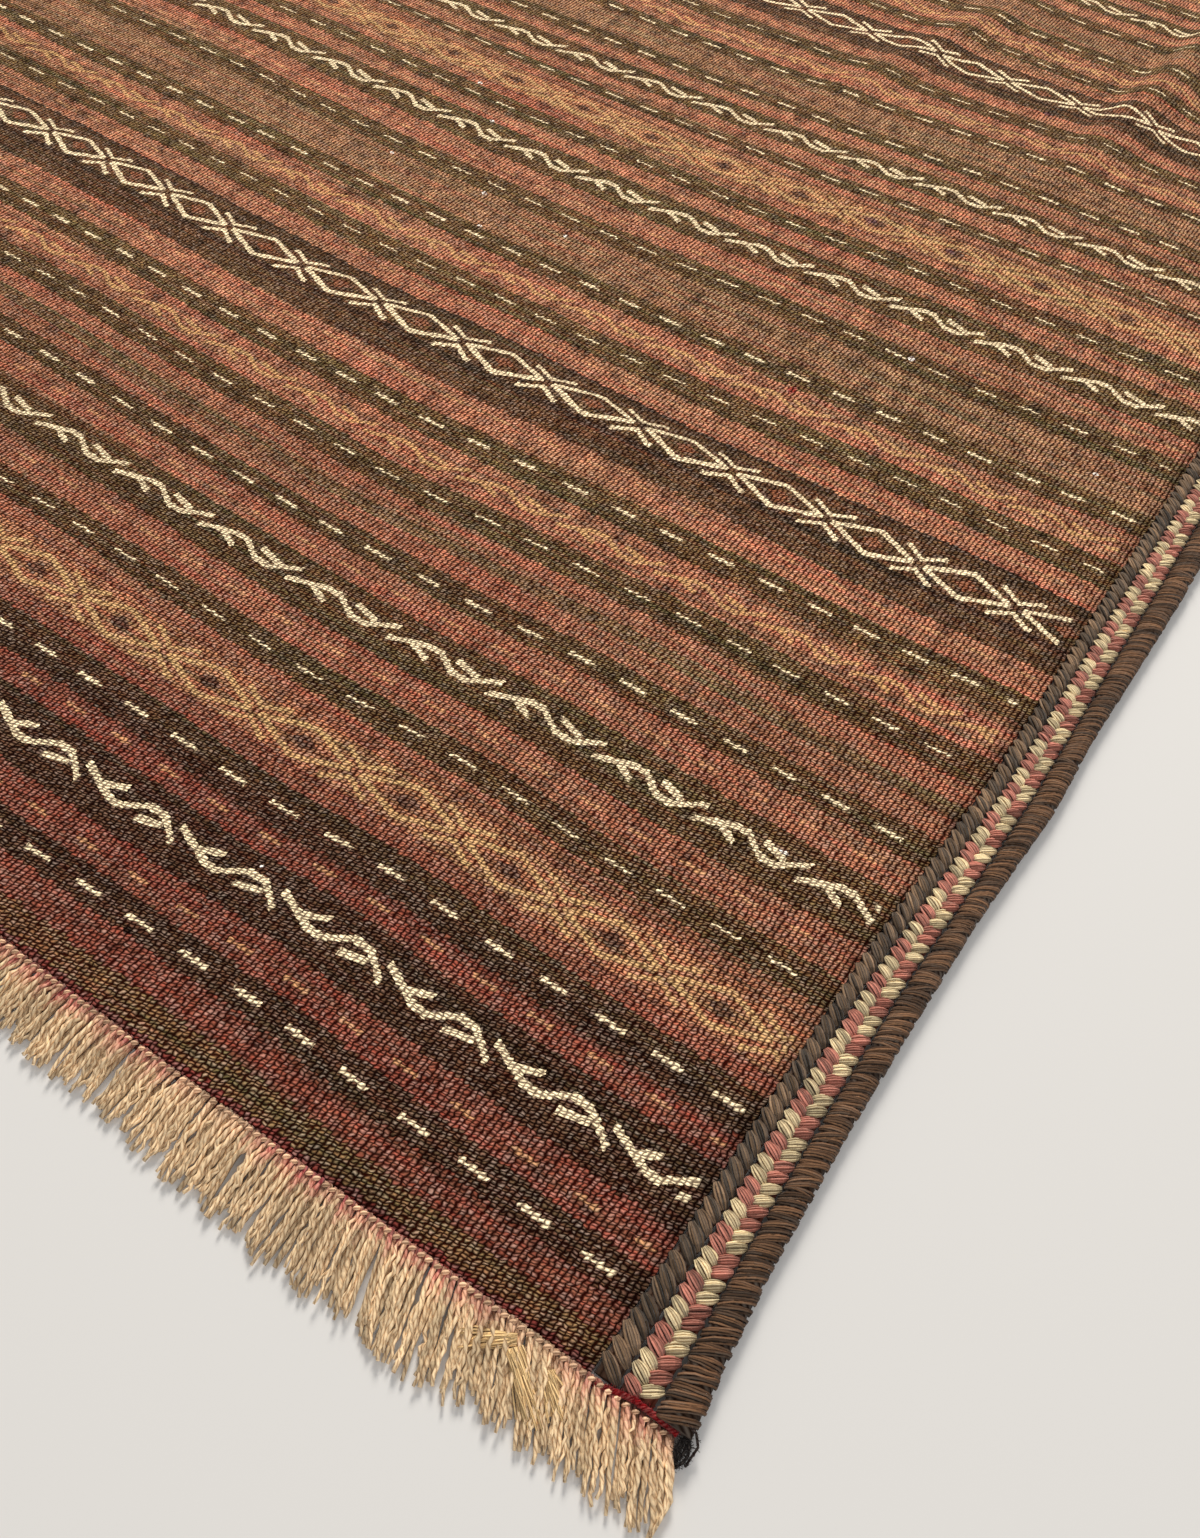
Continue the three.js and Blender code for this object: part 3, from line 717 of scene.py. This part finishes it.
def make_cloth():
    """The woven cloth as a closed sheet: a fine top, a plainer underside and walls between them."""
    cells = row_cells()
    columns = cloth_columns()
    stations, strip_cell, cell_first = [], [], []
    for index, (first, last, edge, *_) in enumerate(cells):
        cell_first.append(len(stations))
        inner = cell_rows(first, last, edge)
        stations.extend(inner)
        strip_cell.extend([index] * len(inner))
    cell_first.append(len(stations))
    stations = np.array(stations + [BACK_V])

    x, y = cloth_surface(columns, stations)
    lift = ripple_height(x, y)
    slow = 0.22 * np.sin(x / 37 + y / 90) * np.sin(y / 23 - x / 160)
    rise = raised_height(cells, stations, strip_cell + [len(cells) - 1])[:, None]
    top = points(x, y, CLOTH_THICKNESS - 0.1 + lift + slow + rise)
    under = points(x, y, lift)[cell_first]
    places = np.concatenate([top.reshape(-1, 3), under.reshape(-1, 3)])

    wide = len(columns)
    ids = np.arange(len(places)).reshape(-1, wide)
    top_id, under_id = ids[:len(stations)], ids[len(stations):]
    faces = [
        quads(top_id[:-1], top_id[1:]),
        quads(under_id[:-1, ::-1], under_id[1:, ::-1]),
        quads(under_id[0], top_id[0]),
        quads(under_id[-1, ::-1], top_id[-1, ::-1]),
    ]
    face_cells = [np.repeat([*strip_cell, *range(len(cells)), 0, len(cells) - 1], wide - 1)]
    for index in range(len(cells)):
        rows = np.arange(cell_first[index], cell_first[index + 1] + 1)
        right = [under_id[index, -1], under_id[index + 1, -1], *top_id[rows[::-1], -1]]
        left = [under_id[index + 1, 0], under_id[index, 0], *top_id[rows, 0]]
        faces.append(np.array([right, left]))
        face_cells.append([index, index])

    piece = build_mesh("weave_cloth", places, faces, weave_material())
    point_v = np.repeat([*stations, *stations[cell_first]], wide)
    point_u = to_u(places[:, 0])
    loops = np.concatenate([f.ravel() for f in faces])
    sizes = np.concatenate([np.full(len(f), f.shape[1]) for f in faces])
    store_uv(piece.data, "weave", np.stack([point_u[loops], point_v[loops]], -1))
    paint_bands(piece.data, cells, np.concatenate(face_cells), sizes, point_v[loops])
    slip = smoothed(point_u, SLIP) * smoothed(point_v, SLIP_SHARE)
    store(piece.data, "motif_drift", "FLOAT", "POINT", -slip)
    return piece


def paint_bands(mesh, cells, cell_of_face, sizes, loop_v):
    """Writes what the weave material needs: the nearest band edge, its two grounds and the motif."""
    cell_of_loop = np.repeat(cell_of_face, sizes)
    edges = np.array([c[2] for c in cells])
    forms, kinds, colours, centres = [], [], [], []
    for _, _, edge, below, above, motif in cells:
        kind, centre, anchor = motif or NO_MOTIF
        _, period, gain, dash, zigzag, diamond, thread, strength, eye = MOTIFS[kind]
        forms.append((period, anchor, gain))
        kinds.append((dash, zigzag, diamond))
        grounds = [ground_colour(below, edge), ground_colour(above, edge)]
        colours.append([*grounds, [*linear(thread), strength], [*linear(eye), 1.0]])
        centres.append(centre)
    store(mesh, "band_offset", "FLOAT", "CORNER", loop_v - edges[cell_of_loop])
    store(mesh, "motif_offset", "FLOAT", "CORNER", loop_v - np.array(centres)[cell_of_loop])
    for place, name in enumerate(("band_below", "band_above", "motif_thread", "motif_eye")):
        store(mesh, name, "FLOAT_COLOR", "CORNER", np.array(colours)[cell_of_loop, place])
    store(mesh, "motif_form", "FLOAT_VECTOR", "FACE", np.array(forms)[cell_of_face])
    store(mesh, "motif_kind", "FLOAT_VECTOR", "FACE", np.array(kinds)[cell_of_face])


class Yarns:
    """Collects many closed tubes of yarn into one mesh."""

    def __init__(self):
        self.points, self.count = [], 0
        self.faces, self.uvs, self.tints = [], [], []

    def add(self, centres, half_widths, half_heights, corners, tints, strands=2, twist=0, upright=(0, 0, 1)):
        """Tubes through centres (n, k, 3), with strands round the tube and twist in strands a millimetre."""
        centres = np.asarray(centres, float)
        n, k, _ = centres.shape
        ahead = np.gradient(centres, axis=1)
        ahead /= np.linalg.norm(ahead, axis=2, keepdims=True)
        side = np.cross(np.array(upright, float), ahead)
        side /= np.maximum(np.linalg.norm(side, axis=2, keepdims=True), 1e-9)
        up = np.cross(ahead, side)
        side = np.cross(up, ahead)
        turn = 2 * math.pi * (np.arange(corners) + 0.5) / corners
        wide = np.broadcast_to(half_widths, (n, k, corners)) * np.cos(turn)
        tall = np.broadcast_to(half_heights, (n, k, corners)) * np.sin(turn)
        ring = centres[:, :, None] + side[:, :, None] * wide[..., None] + up[:, :, None] * tall[..., None]
        ids = self.count + np.arange(n * k * corners).reshape(n, k, corners)
        closed = np.concatenate([ids, ids[:, :, :1]], axis=2)
        steps = np.linalg.norm(np.diff(centres, axis=1), axis=2)
        length = np.concatenate([np.zeros((n, 1)), np.cumsum(steps, axis=1)], axis=1)
        length = (length + RNG.uniform(0, 40, (n, 1)))[..., None]
        seams = np.arange(corners + 1) / corners * strands + twist * length
        uv = np.stack(np.broadcast_arrays(length, seams), -1)
        numbers = np.arange(seams.size).reshape(seams.shape)
        tints = np.asarray(tints, float)
        if tints.ndim == 2:
            tints = np.repeat(tints[:, None], k - 1, axis=1)
        self.points.append(ring.reshape(-1, 3))
        self.count += n * k * corners
        self.faces.append(quads(closed[:, :-1], closed[:, 1:]))
        self.uvs.append(uv.reshape(-1, 2)[quads(numbers[:, :-1], numbers[:, 1:])].reshape(-1, 2))
        self.tints.append(np.repeat(tints.reshape(-1, 3), corners, axis=0))
        for ends, place in ((ids[:, 0, ::-1], 0), (ids[:, -1], -1)):
            self.faces.append(ends)
            self.uvs.append(np.repeat(uv[:, place, :1], corners, axis=1).reshape(-1, 2))
            self.tints.append(tints[:, place])

    def build(self, name, material):
        piece = build_mesh(name, np.concatenate(self.points), self.faces, material)
        store_uv(piece.data, "strand", np.concatenate(self.uvs))
        store(piece.data, "tint", "FLOAT_COLOR", "FACE", np.concatenate(self.tints))
        return piece


def varied(colours, count, spread):
    """Linear colours of count pieces, with a little difference between them."""
    return np.broadcast_to(colours, (count, 3)) * RNG.uniform(1 - spread, 1 + spread, (count, 1))


def turned(places, side):
    """The right side's places, or the same turned half way round for the left side."""
    return places * np.array([side, side, 1.0])


def stitches(yarns, starts, ends, tints, width, rise, shades, lanes, stations, corners):
    """Stitches from starts to ends, each a few yarns side by side that arch over as one bundle."""
    count = len(starts)
    share = np.linspace(0, 1, stations)
    arch = np.sin(math.pi * (0.06 + 0.88 * share)) ** 0.6
    way = ends - starts
    across = points(-way[:, 1], way[:, 0], 0)
    across /= np.linalg.norm(across, axis=1, keepdims=True)
    radius = width / lanes * 0.5
    spread = 0.5 + 0.5 * np.sin(math.pi * share) ** 0.7
    taper = (0.7 + 0.3 * np.sin(math.pi * share) ** 0.5)[None, :, None]
    middles = (share[1:] + share[:-1]) / 2
    # painted shade: each stitch darker towards its ends, where it tucks under its neighbours
    falloff = (0.45 + 0.55 * np.sin(math.pi * middles) ** 0.6)[None, :, None]
    for lane in range(lanes):
        place = (lane + 0.5) / lanes * 2 - 1
        line = starts[:, None] + way[:, None] * share[None, :, None]
        line += across[:, None] * (place * (width / 2 - radius) * spread)[None, :, None]
        line += RNG.normal(0, 0.14, (count, 1, 3)) * arch[None, :, None]
        line[..., 2] += rise * arch * (1 - 0.4 * place * place)
        thick = radius * RNG.uniform(0.88, 1.1, (count, 1, 1)) * taper
        shade = RNG.uniform(*shades, (count, 1, 1))
        yarns.add(line, thick, thick * 1.3, corners, tints[:, None] * shade * falloff)


def base_strip(yarns, side, inner_line, outer_line, colour):
    """The plain body under the stitches of one side band."""
    y = np.linspace(-HALF_LENGTH + SIDE_END, HALF_LENGTH - SIDE_END, 160)
    inner, outer = side_band(inner_line, outer_line, y)
    middle = points((inner + outer) / 2, y, 1.25)
    half = ((outer - inner) / 2)[None, :, None]
    yarns.add(turned(middle, side)[None], half, 1.2, corners=8, tints=linear(colour)[None], strands=9)


def chevron_band(word, material):
    """Two columns of fat stitches that meet in a chevron, cream and rose by turns."""
    yarns = Yarns()
    side = SIDES[word]
    count = int((2 * HALF_LENGTH - 8) / CHEVRON_SPACING)
    detail = {"lanes": 5, "stations": 5} if side > 0 else {"lanes": 4, "stations": 4}
    for column, first, climb, width in ((0, 3.5, 1.6, 5.3), (1, 5.5, 2.3, 5.1)):
        y = -HALF_LENGTH + first + np.arange(count) * CHEVRON_SPACING
        inner, outer = side_band(CHEVRON_IN, CORD_IN, y)
        middle = (inner + outer) / 2
        is_cream = (np.arange(count) + 1) // 2 % 2 == 1 - column
        tints = np.where(is_cream[:, None], linear(STITCH_CREAM), linear(STITCH_ROSE))
        tints = varied(tints, count, 0.08)
        y = y + RNG.uniform(-0.25, 0.25, count)
        far = outer - 0.2 if column else inner + 0.2
        near = middle - 0.7 if column else middle + 0.7
        start = turned(points(far, y + climb, 2.2), side)
        end = turned(points(near, y - climb, 2.1), side)
        stitches(yarns, start, end, tints, width, rise=1.9, shades=(0.5, 1.3), corners=4, **detail)
    base_strip(yarns, side, CHEVRON_IN, CORD_IN, CHEVRON_BASE)
    return yarns.build("chevron_stitches_" + word, material)


def overcast_band(word, material):
    """Slanted bundles of grey-brown yarn over the cloth's side."""
    yarns = Yarns()
    side = SIDES[word]
    count = int((2 * HALF_LENGTH - 9) / OVERCAST_SPACING)
    detail = {"stations": 5, "corners": 5} if side > 0 else {"stations": 4, "corners": 4}
    y = -HALF_LENGTH + 4.6 + np.arange(count) * OVERCAST_SPACING + RNG.uniform(-0.5, 0.5, count)
    inner, outer = side_band(OVERCAST_IN, CHEVRON_IN, y)
    slant = RNG.uniform(2.5, 3.3, count)
    start = turned(points(inner, y + slant, 1.8), side)
    end = turned(points(outer, y - slant, 1.7), side)
    tints = varied(linear(OVERCAST_YARN), count, 0.4)
    stitches(yarns, start, end, tints, width=5.4, rise=1.6, shades=(0.15, 2.0), lanes=5, **detail)
    base_strip(yarns, side, OVERCAST_IN, CHEVRON_IN, OVERCAST_BASE)
    return yarns.build("overcast_stitches_" + word, material)


def cord_band(word, material):
    """The outermost cord, wrapped in dark brown yarn that lies in small uneven bundles."""
    yarns = Yarns()
    side = SIDES[word]
    stations, corners = (8, 4) if side > 0 else (6, 3)
    first, last = -HALF_LENGTH + SIDE_END, HALF_LENGTH - SIDE_END
    y = np.arange(first + 1.4, last - 1.4, WRAP_SPACING)
    count = len(y)
    bundles = np.cumsum(RNG.integers(2, 5, count))
    group = np.searchsorted(bundles, np.arange(count), side="right")
    starts = np.concatenate([[0], bundles])
    size = starts[group + 1] - starts[group]
    lane = np.arange(count) - starts[group] - (size - 1) / 2
    group_y = y - WRAP_SPACING * lane + RNG.uniform(-0.45, 0.45, count)[group]
    inner, outer = side_line(CORD_IN, y), side_line(OUTER, y)
    lift = 0.25 - 0.22 * np.abs(lane) + RNG.uniform(-0.15, 0.1, count)[group]
    slope = RNG.normal(0.55, 0.16, count)[group] + RNG.normal(0, 0.05, count)
    angle = np.linspace(-1.9, 1.9, stations)[None, :]
    reach = (outer - inner) / 2 - 0.5 + lift
    px = ((inner + outer) / 2)[:, None] + reach[:, None] * np.sin(angle)
    gather = WRAP_SPACING * (0.75 + 0.25 * np.cos(angle))
    py = group_y[:, None] + lane[:, None] * gather + (slope * reach)[:, None] * np.sin(angle)
    py = np.clip(py + RNG.normal(0, 0.1, (count, stations)), first, last)
    pz = 3.0 + (2.45 + lift)[:, None] * np.cos(angle)
    # painted shade: each wrap lighter over the top of the cord and darker down its sides
    painted_round_shade = 0.5 + 0.5 * np.cos(angle[0, 1:] - 0.1)[None, :, None]
    shade = RNG.uniform(0.25, 1.75, (count, 1, 1)) * painted_round_shade
    tints = linear(CORD_YARN) * np.maximum(shade, 0.15)
    outward = points(np.sin(angle[0]) * side, 0.0, np.cos(angle[0]))
    yarns.add(turned(points(px, py, pz), side), 0.5, 0.55, corners, tints, upright=outward)
    y = np.linspace(first, last, 200)
    inner, outer = side_line(CORD_IN, y), side_line(OUTER, y)
    core = turned(points((inner + outer) / 2, y, 3.0), side)
    half = ((outer - inner) / 2 - 0.6)[None, :, None]
    yarns.add(core[None], half, 2.4, corners=14, tints=linear(CORD_CORE)[None], strands=8, twist=0.4)
    return yarns.build("cord_wraps_" + word, material)


def fringe_root(x, side):
    """y of the cloth's end at x, for the front fringe or, turned, the back one."""
    waver = end_waver(x) if side > 0 else 0 * x
    return -HALF_LENGTH - GAP - waver


def fringe_reach(x):
    """Length of the fringe at x: longer towards the right corner."""
    share = np.clip((x - 230) / 260, 0, 1)
    share = share * share * (3 - 2 * share)
    return 25.0 + 4.5 * share + 2.0 * np.sin(x / 31) + 0.8 * np.sin(x / 7.3)


def fringe_tints(x, from_root, brightness):
    """Tan yarn colours, with pink dye near the root in most stretches and painted shade over the first
    millimetres below the twined row.
    """
    patch = np.clip(0.95 + 0.5 * np.sin(x / 23 + 1.0) + 0.35 * np.sin(x / 9.1), 0.25, 1)
    patch = patch * RNG.uniform(0.3, 1.0, len(x)) ** 0.6
    falloff = np.clip(1.3 - from_root / RNG.uniform(4.0, 10.0, (len(x), 1)), 0, 1)
    falloff = (falloff * patch[:, None])[..., None]
    # painted shadow under the twined row: darker near the root
    shaded = np.clip(from_root / 4.5, 0.3, 1)[..., None]
    return (linear(FRINGE_TAN) * (1 - falloff) + linear(FRINGE_PINK) * falloff) * brightness * shaded


def warp_yarns(yarns, side, layer, count, stations, corners, radius, kink):
    """One layer of kinky fringe yarns that lean, gather towards their tips and rest on the floor."""
    share = np.linspace(0, 1, stations)[None, :]
    x = np.clip(np.linspace(-549.4, 549.4, count) + RNG.uniform(-0.9, 0.9, count), -549.6, 549.6)
    turn = np.clip((x - 330) / 215, 0, 1)
    lean = 0.55 * turn * turn * (3 - 2 * turn) - 0.05
    clump = np.round(x / 11 + 0.3 * np.sin(x / 40)) * 11
    length = fringe_reach(x) * RNG.uniform(0.74, 1.0, count)
    sway = lean * length + RNG.normal(0, 2.0, count) + 1.8 * np.sin(x / 13 + 2 * np.sin(x / 37))
    gather = RNG.uniform(0.0, 0.35, count) * (clump - x)
    kinks = RNG.normal(0, kink, (count, stations)) * np.minimum(share * 4, 1)
    px = x[:, None] + sway[:, None] * share + gather[:, None] * share ** 1.7 + kinks
    px = np.clip(px, -558, 558)
    py = fringe_root(x, side)[:, None] + 0.2 - length[:, None] * share
    rise = (0.6 + 0.8 * layer) * RNG.uniform(0.4, 1.2, (count, 1))
    arch = 1.2 + 0.5 * layer + rise * np.sin(math.pi * np.minimum(share * 1.25, 1))
    settled = share ** 3
    pz = arch * (1 - settled) + (0.7 + 0.7 * layer) * settled + RNG.uniform(-0.2, 0.2, (count, stations))
    thick = radius * RNG.uniform(0.8, 1.15, (count, 1, 1)) * (1 - 0.25 * share[..., None] ** 3)
    pz = np.maximum(pz, radius + 0.05)
    # painted shade: the lower layers darker, under the upper ones; the random spread is each yarn's own tone
    brightness = RNG.uniform(0.7, 1.1, (count, 1, 1)) * (0.84 + 0.1 * layer)
    tints = fringe_tints(x, share[:, 1:] * length[:, None], brightness)
    yarns.add(turned(points(px, py, pz), side), thick, thick, corners, tints, twist=0.32)


def twining(yarns, side):
    """The twined row that holds the warps at the cloth's end: slanted beads on a strip."""
    x = np.arange(-548, 549, 3.0)
    count = len(x)
    x = x + RNG.uniform(-0.3, 0.3, count)
    root = fringe_root(x, side)
    tints = varied(linear(TWINE_BEAD), count, 0.35)
    share = np.linspace(0, 1, 5)
    swell = (np.sin(math.pi * (0.07 + 0.86 * share)) ** 0.55)[None, :, None]
    start = turned(points(x - 0.9, root - 1.8, 2.5), side)[:, None]
    end = turned(points(x + 0.9, root - 0.4, 2.5), side)[:, None]
    beads = start + (end - start) * share[None, :, None]
    beads[..., 2] += 0.6 * np.sin(math.pi * share) ** 0.7
    size = RNG.uniform(0.9, 1.1, (count, 1, 1))
    yarns.add(beads, 0.8 * swell * size, 0.9 * swell * size, corners=6, tints=tints, strands=4)
    x = np.linspace(-549, 549, 120)
    strip = turned(points(x, fringe_root(x, side) - 1.1, 0.9), side)
    yarns.add(strip[None], 0.9, 0.8, corners=6, tints=linear(TWINE_STRIP)[None], strands=6, twist=1.0)


def loose_locks(yarns):
    """Locks near the corner whose yarns have come apart into flat fibres that stray across the others."""
    count, stations = 62, 10
    share = np.linspace(0, 1, stations)[None, :]
    for from_x, from_depth, to_x, to_depth, from_width, to_width in LOOSE_LOCKS:
        place = RNG.normal(0, 0.36, (count, 1))
        along = share * RNG.uniform(0.55, 1.08, (count, 1))
        way = np.array([to_x - from_x, -(to_depth - from_depth)])
        across = np.array([-way[1], way[0]]) / np.linalg.norm(way)
        turns = share * RNG.uniform(2, 7, (count, 1)) + RNG.uniform(0, 6, (count, 1))
        off = place * (from_width + (to_width - from_width) * along)
        off = off + RNG.uniform(0.1, 0.8, (count, 1)) * np.sin(turns)
        px = from_x + way[0] * along + across[0] * off
        py = fringe_root(px, 1) - from_depth + way[1] * along + across[1] * off
        pz = 3.6 + np.sin(math.pi * share) * RNG.uniform(0.2, 1, (count, 1)) - 1.2 * share
        line = points(px, py, pz + 0.4 * np.cos(turns))
        tints = varied(linear(LOOSE_FIBRE), count, 0.3)
        yarns.add(line, 0.42, 0.14, corners=4, tints=tints, strands=3, twist=0.05)


def make_fringe(word, material):
    """Warp yarns in three layers, the twined row and, in front, the loose locks."""
    yarns = Yarns()
    side = ENDS[word]
    warp_yarns(yarns, side, 0, count=620, stations=6, corners=4, radius=1.05, kink=0.2)
    count, stations, corners = (500, 13, 5) if side > 0 else (380, 10, 4)
    for layer in (1, 2):
        warp_yarns(yarns, side, layer, count, stations, corners, radius=0.72, kink=0.4)
    twining(yarns, side)
    if side > 0:
        loose_locks(yarns)
    return yarns.build("fringe_yarns_" + word, material)


def fuzz(yarns, path, colour, hairs, start, reach, mirror=1.0):
    """Short stray fibres round a yarn that follows path."""
    at = RNG.uniform(0, len(path) - 1.01, hairs)
    step = at.astype(int)
    base = path[step] + (path[step + 1] - path[step]) * (at - step)[:, None]
    away = RNG.normal(0, 1, (hairs, 3))
    away[:, 2] = np.abs(away[:, 2]) * 0.8
    away /= np.linalg.norm(away, axis=1, keepdims=True)
    share = np.linspace(0, 1, 4)[None, :, None]
    curl = RNG.normal(0, 0.3, (hairs, 1, 3)) * share ** 2
    long = RNG.uniform(0.4, 1.0, (hairs, 1, 1)) * reach
    line = base[:, None] + away[:, None] * (start + long * share) + curl
    line[..., 2] = np.maximum(line[..., 2], 0.2)
    tints = varied(linear(colour), hairs, 0.4)
    yarns.add(line * mirror, 0.09, 0.09, corners=3, tints=tints, strands=1, twist=0.1)


def corner_yarn(end, side, material):
    """Fuzzy dark red yarn, its strands turned round each other, laid across one end of a side finish."""
    yarns = Yarns()
    strands = 4
    mirror = np.array([SIDES[side], ENDS[end], 1.0])
    path = through(BINDING_KNOTS, 26)
    steps = np.linalg.norm(np.diff(path, axis=0), axis=1)
    length = np.concatenate([[0], np.cumsum(steps)])
    for strand in range(strands):
        turn = length * 0.9 + strand * 2 * math.pi / strands
        line = path + points(0.4 * np.cos(turn), np.sin(turn), np.cos(turn)) * 0.5
        tint = varied(linear(BINDING_YARN), 1, 0.3)
        yarns.add((line * mirror)[None], 0.55, 0.55, corners=6, tints=tint, twist=0.6)
    fuzz(yarns, path, BINDING_FUZZ, hairs=320, start=0.7, reach=1.1, mirror=mirror)
    return yarns.build(f"corner_yarn_{end}_{side}", material)


def corner_tuft(material):
    """Fuzzy black yarn caught at the right front corner, with a thin loop round the cord's end."""
    yarns = Yarns()
    share = np.linspace(0, 1, 18)
    for loop in range(5):
        bulge = (-1) ** loop * (0.6 + 0.25 * loop)
        x = 553.4 + bulge * np.sin(share * math.pi * 1.2) + 0.4 * (loop - 2)
        y = -752.0 - (6.5 + 0.8 * loop) * share
        path = points(x, y, 2.4 + 1.2 * np.sin(math.pi * share) - 1.4 * share)
        yarns.add(path[None], 0.5, 0.5, corners=5, tints=varied(linear(TUFT_YARN), 1, 0.3), twist=0.7)
        fuzz(yarns, path, TUFT_FUZZ, hairs=110, start=0.4, reach=1.3)
    path = through(LOOP_KNOTS, 16)
    yarns.add(path[None], 0.4, 0.4, corners=5, tints=linear(LOOP_YARN)[None], twist=0.7)
    fuzz(yarns, path, LOOP_FUZZ, hairs=60, start=0.3, reach=0.7)
    return yarns.build("corner_tuft", material)


def settle(piece, slot, *nodes):
    """The piece rides on the rug and stands for CAD nodes, which it hides. Its slot is not used."""
    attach(piece, "root")
    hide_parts(*nodes)
    return piece


def make_floor():
    """A plain pale floor."""
    bpy.ops.mesh.primitive_plane_add(size=14, location=(0, 0, 0))
    floor = bpy.context.object
    floor.name = "floor"
    paint = Paint("pale_floor")
    feed(paint.tree, (0.78, 0.77, 0.75), paint.shader.inputs["Base Color"])
    feed(paint.tree, 0.8, paint.shader.inputs["Roughness"])
    floor.data.materials.append(paint.material)
    return floor


def area_light(name, location, size, power, colour):
    """A soft square light that faces the corner's side of the rug."""
    data = bpy.data.lights.new(name, "AREA")
    data.size = size
    data.energy = power
    data.color = colour
    lamp = bpy.data.objects.new(name, data)
    bpy.context.scene.collection.objects.link(lamp)
    lamp.location = location
    lamp.rotation_euler = (lamp.location - LIT_SPOT).to_track_quat("Z", "Y").to_euler()


def make_light():
    """A key light beyond the far end, a weaker fill beside the corner and a dim even surround."""
    area_light("key", (-1.2, 2.2, 1.9), size=1.2, power=132, colour=(1.0, 0.95, 0.88))
    area_light("fill", (2.4, -2.2, 2.6), size=2.4, power=40, colour=(0.97, 0.97, 1.0))
    world = bpy.data.worlds.new("studio")
    world.use_nodes = True
    background = world.node_tree.nodes["Background"]
    background.inputs["Color"].default_value = (1.0, 0.98, 0.95, 1.0)
    background.inputs["Strength"].default_value = 0.35
    bpy.context.scene.world = world


def make_camera():
    """The photograph's viewpoint: close above the right front corner, looking across the rug."""
    focal, picture_height = 1399.03, 1538
    tilt, roll, azimuth, height = 0.9233621, -0.1265714, 0.4980689, 207.33267
    right = np.array([1.0, 0.0, 0.0])
    ahead = np.array([0.0, math.cos(tilt), -math.sin(tilt)])
    down = np.array([0.0, -math.sin(tilt), -math.cos(tilt)])
    across = math.cos(roll) * right + math.sin(roll) * down
    below = -math.sin(roll) * right + math.cos(roll) * down
    axes = np.array([across, -below, -ahead]).T
    data = bpy.data.cameras.new("camera")
    data.sensor_width = 36.0
    data.lens = focal / picture_height * data.sensor_width
    data.clip_start = 0.02
    data.clip_end = 40.0
    camera = bpy.data.objects.new("camera", data)
    bpy.context.scene.collection.objects.link(camera)
    camera.rotation_euler = (Matrix.Rotation(azimuth, 3, "Z") @ Matrix(axes.tolist())).to_euler()
    x = MIDDLE[0] + EDGE_X * MM
    y = MIDDLE[1] - (HALF_LENGTH + FRONT_V * PITCH) * MM
    camera.location = (x, y, (height * PITCH + CLOTH_THICKNESS) * MM)
    bpy.context.scene.camera = camera


def make_rug():
    """The cloth, and all the pieces that are sewn or knotted to it."""
    cloth = settle(make_cloth(), "weave", "ground_cloth")
    soft = yarn_material("side_yarn", gap=0.14, bump_distance=0.0003)
    fine = yarn_material("fringe_yarn", gap=0.25, bump_distance=0.0002, fibre=0.35)
    bands = {"overcast": overcast_band, "chevron": chevron_band, "cord": cord_band}
    others = []
    for side in SIDES:
        for slot, make_band in bands.items():
            others.append(settle(make_band(side, soft), slot, f"{slot}_{side}"))
    for end in ENDS:
        others.append(settle(make_fringe(end, fine), "fringe", "fringe_" + end))
    for end in ENDS:
        for side in SIDES:
            others.append(settle(corner_yarn(end, side, fine), "red", f"corner_binding_{end}_{side}"))
    others.append(settle(corner_tuft(fine), "black", "corner_knot"))
    return cloth, others


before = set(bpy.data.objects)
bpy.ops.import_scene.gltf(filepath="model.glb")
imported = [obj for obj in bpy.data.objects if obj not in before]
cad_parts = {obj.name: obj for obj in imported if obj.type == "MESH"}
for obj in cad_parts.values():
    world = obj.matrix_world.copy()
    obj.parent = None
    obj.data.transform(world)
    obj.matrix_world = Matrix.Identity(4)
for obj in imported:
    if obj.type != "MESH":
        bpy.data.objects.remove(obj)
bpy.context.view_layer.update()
low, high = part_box("ground_cloth")
MIDDLE = ((low.x + high.x) / 2, high.y - HALF_LENGTH * MM)

cloth, others = make_rug()
floor = make_floor()
make_light()
make_camera()
bpy.context.scene.view_settings.view_transform = "Standard"
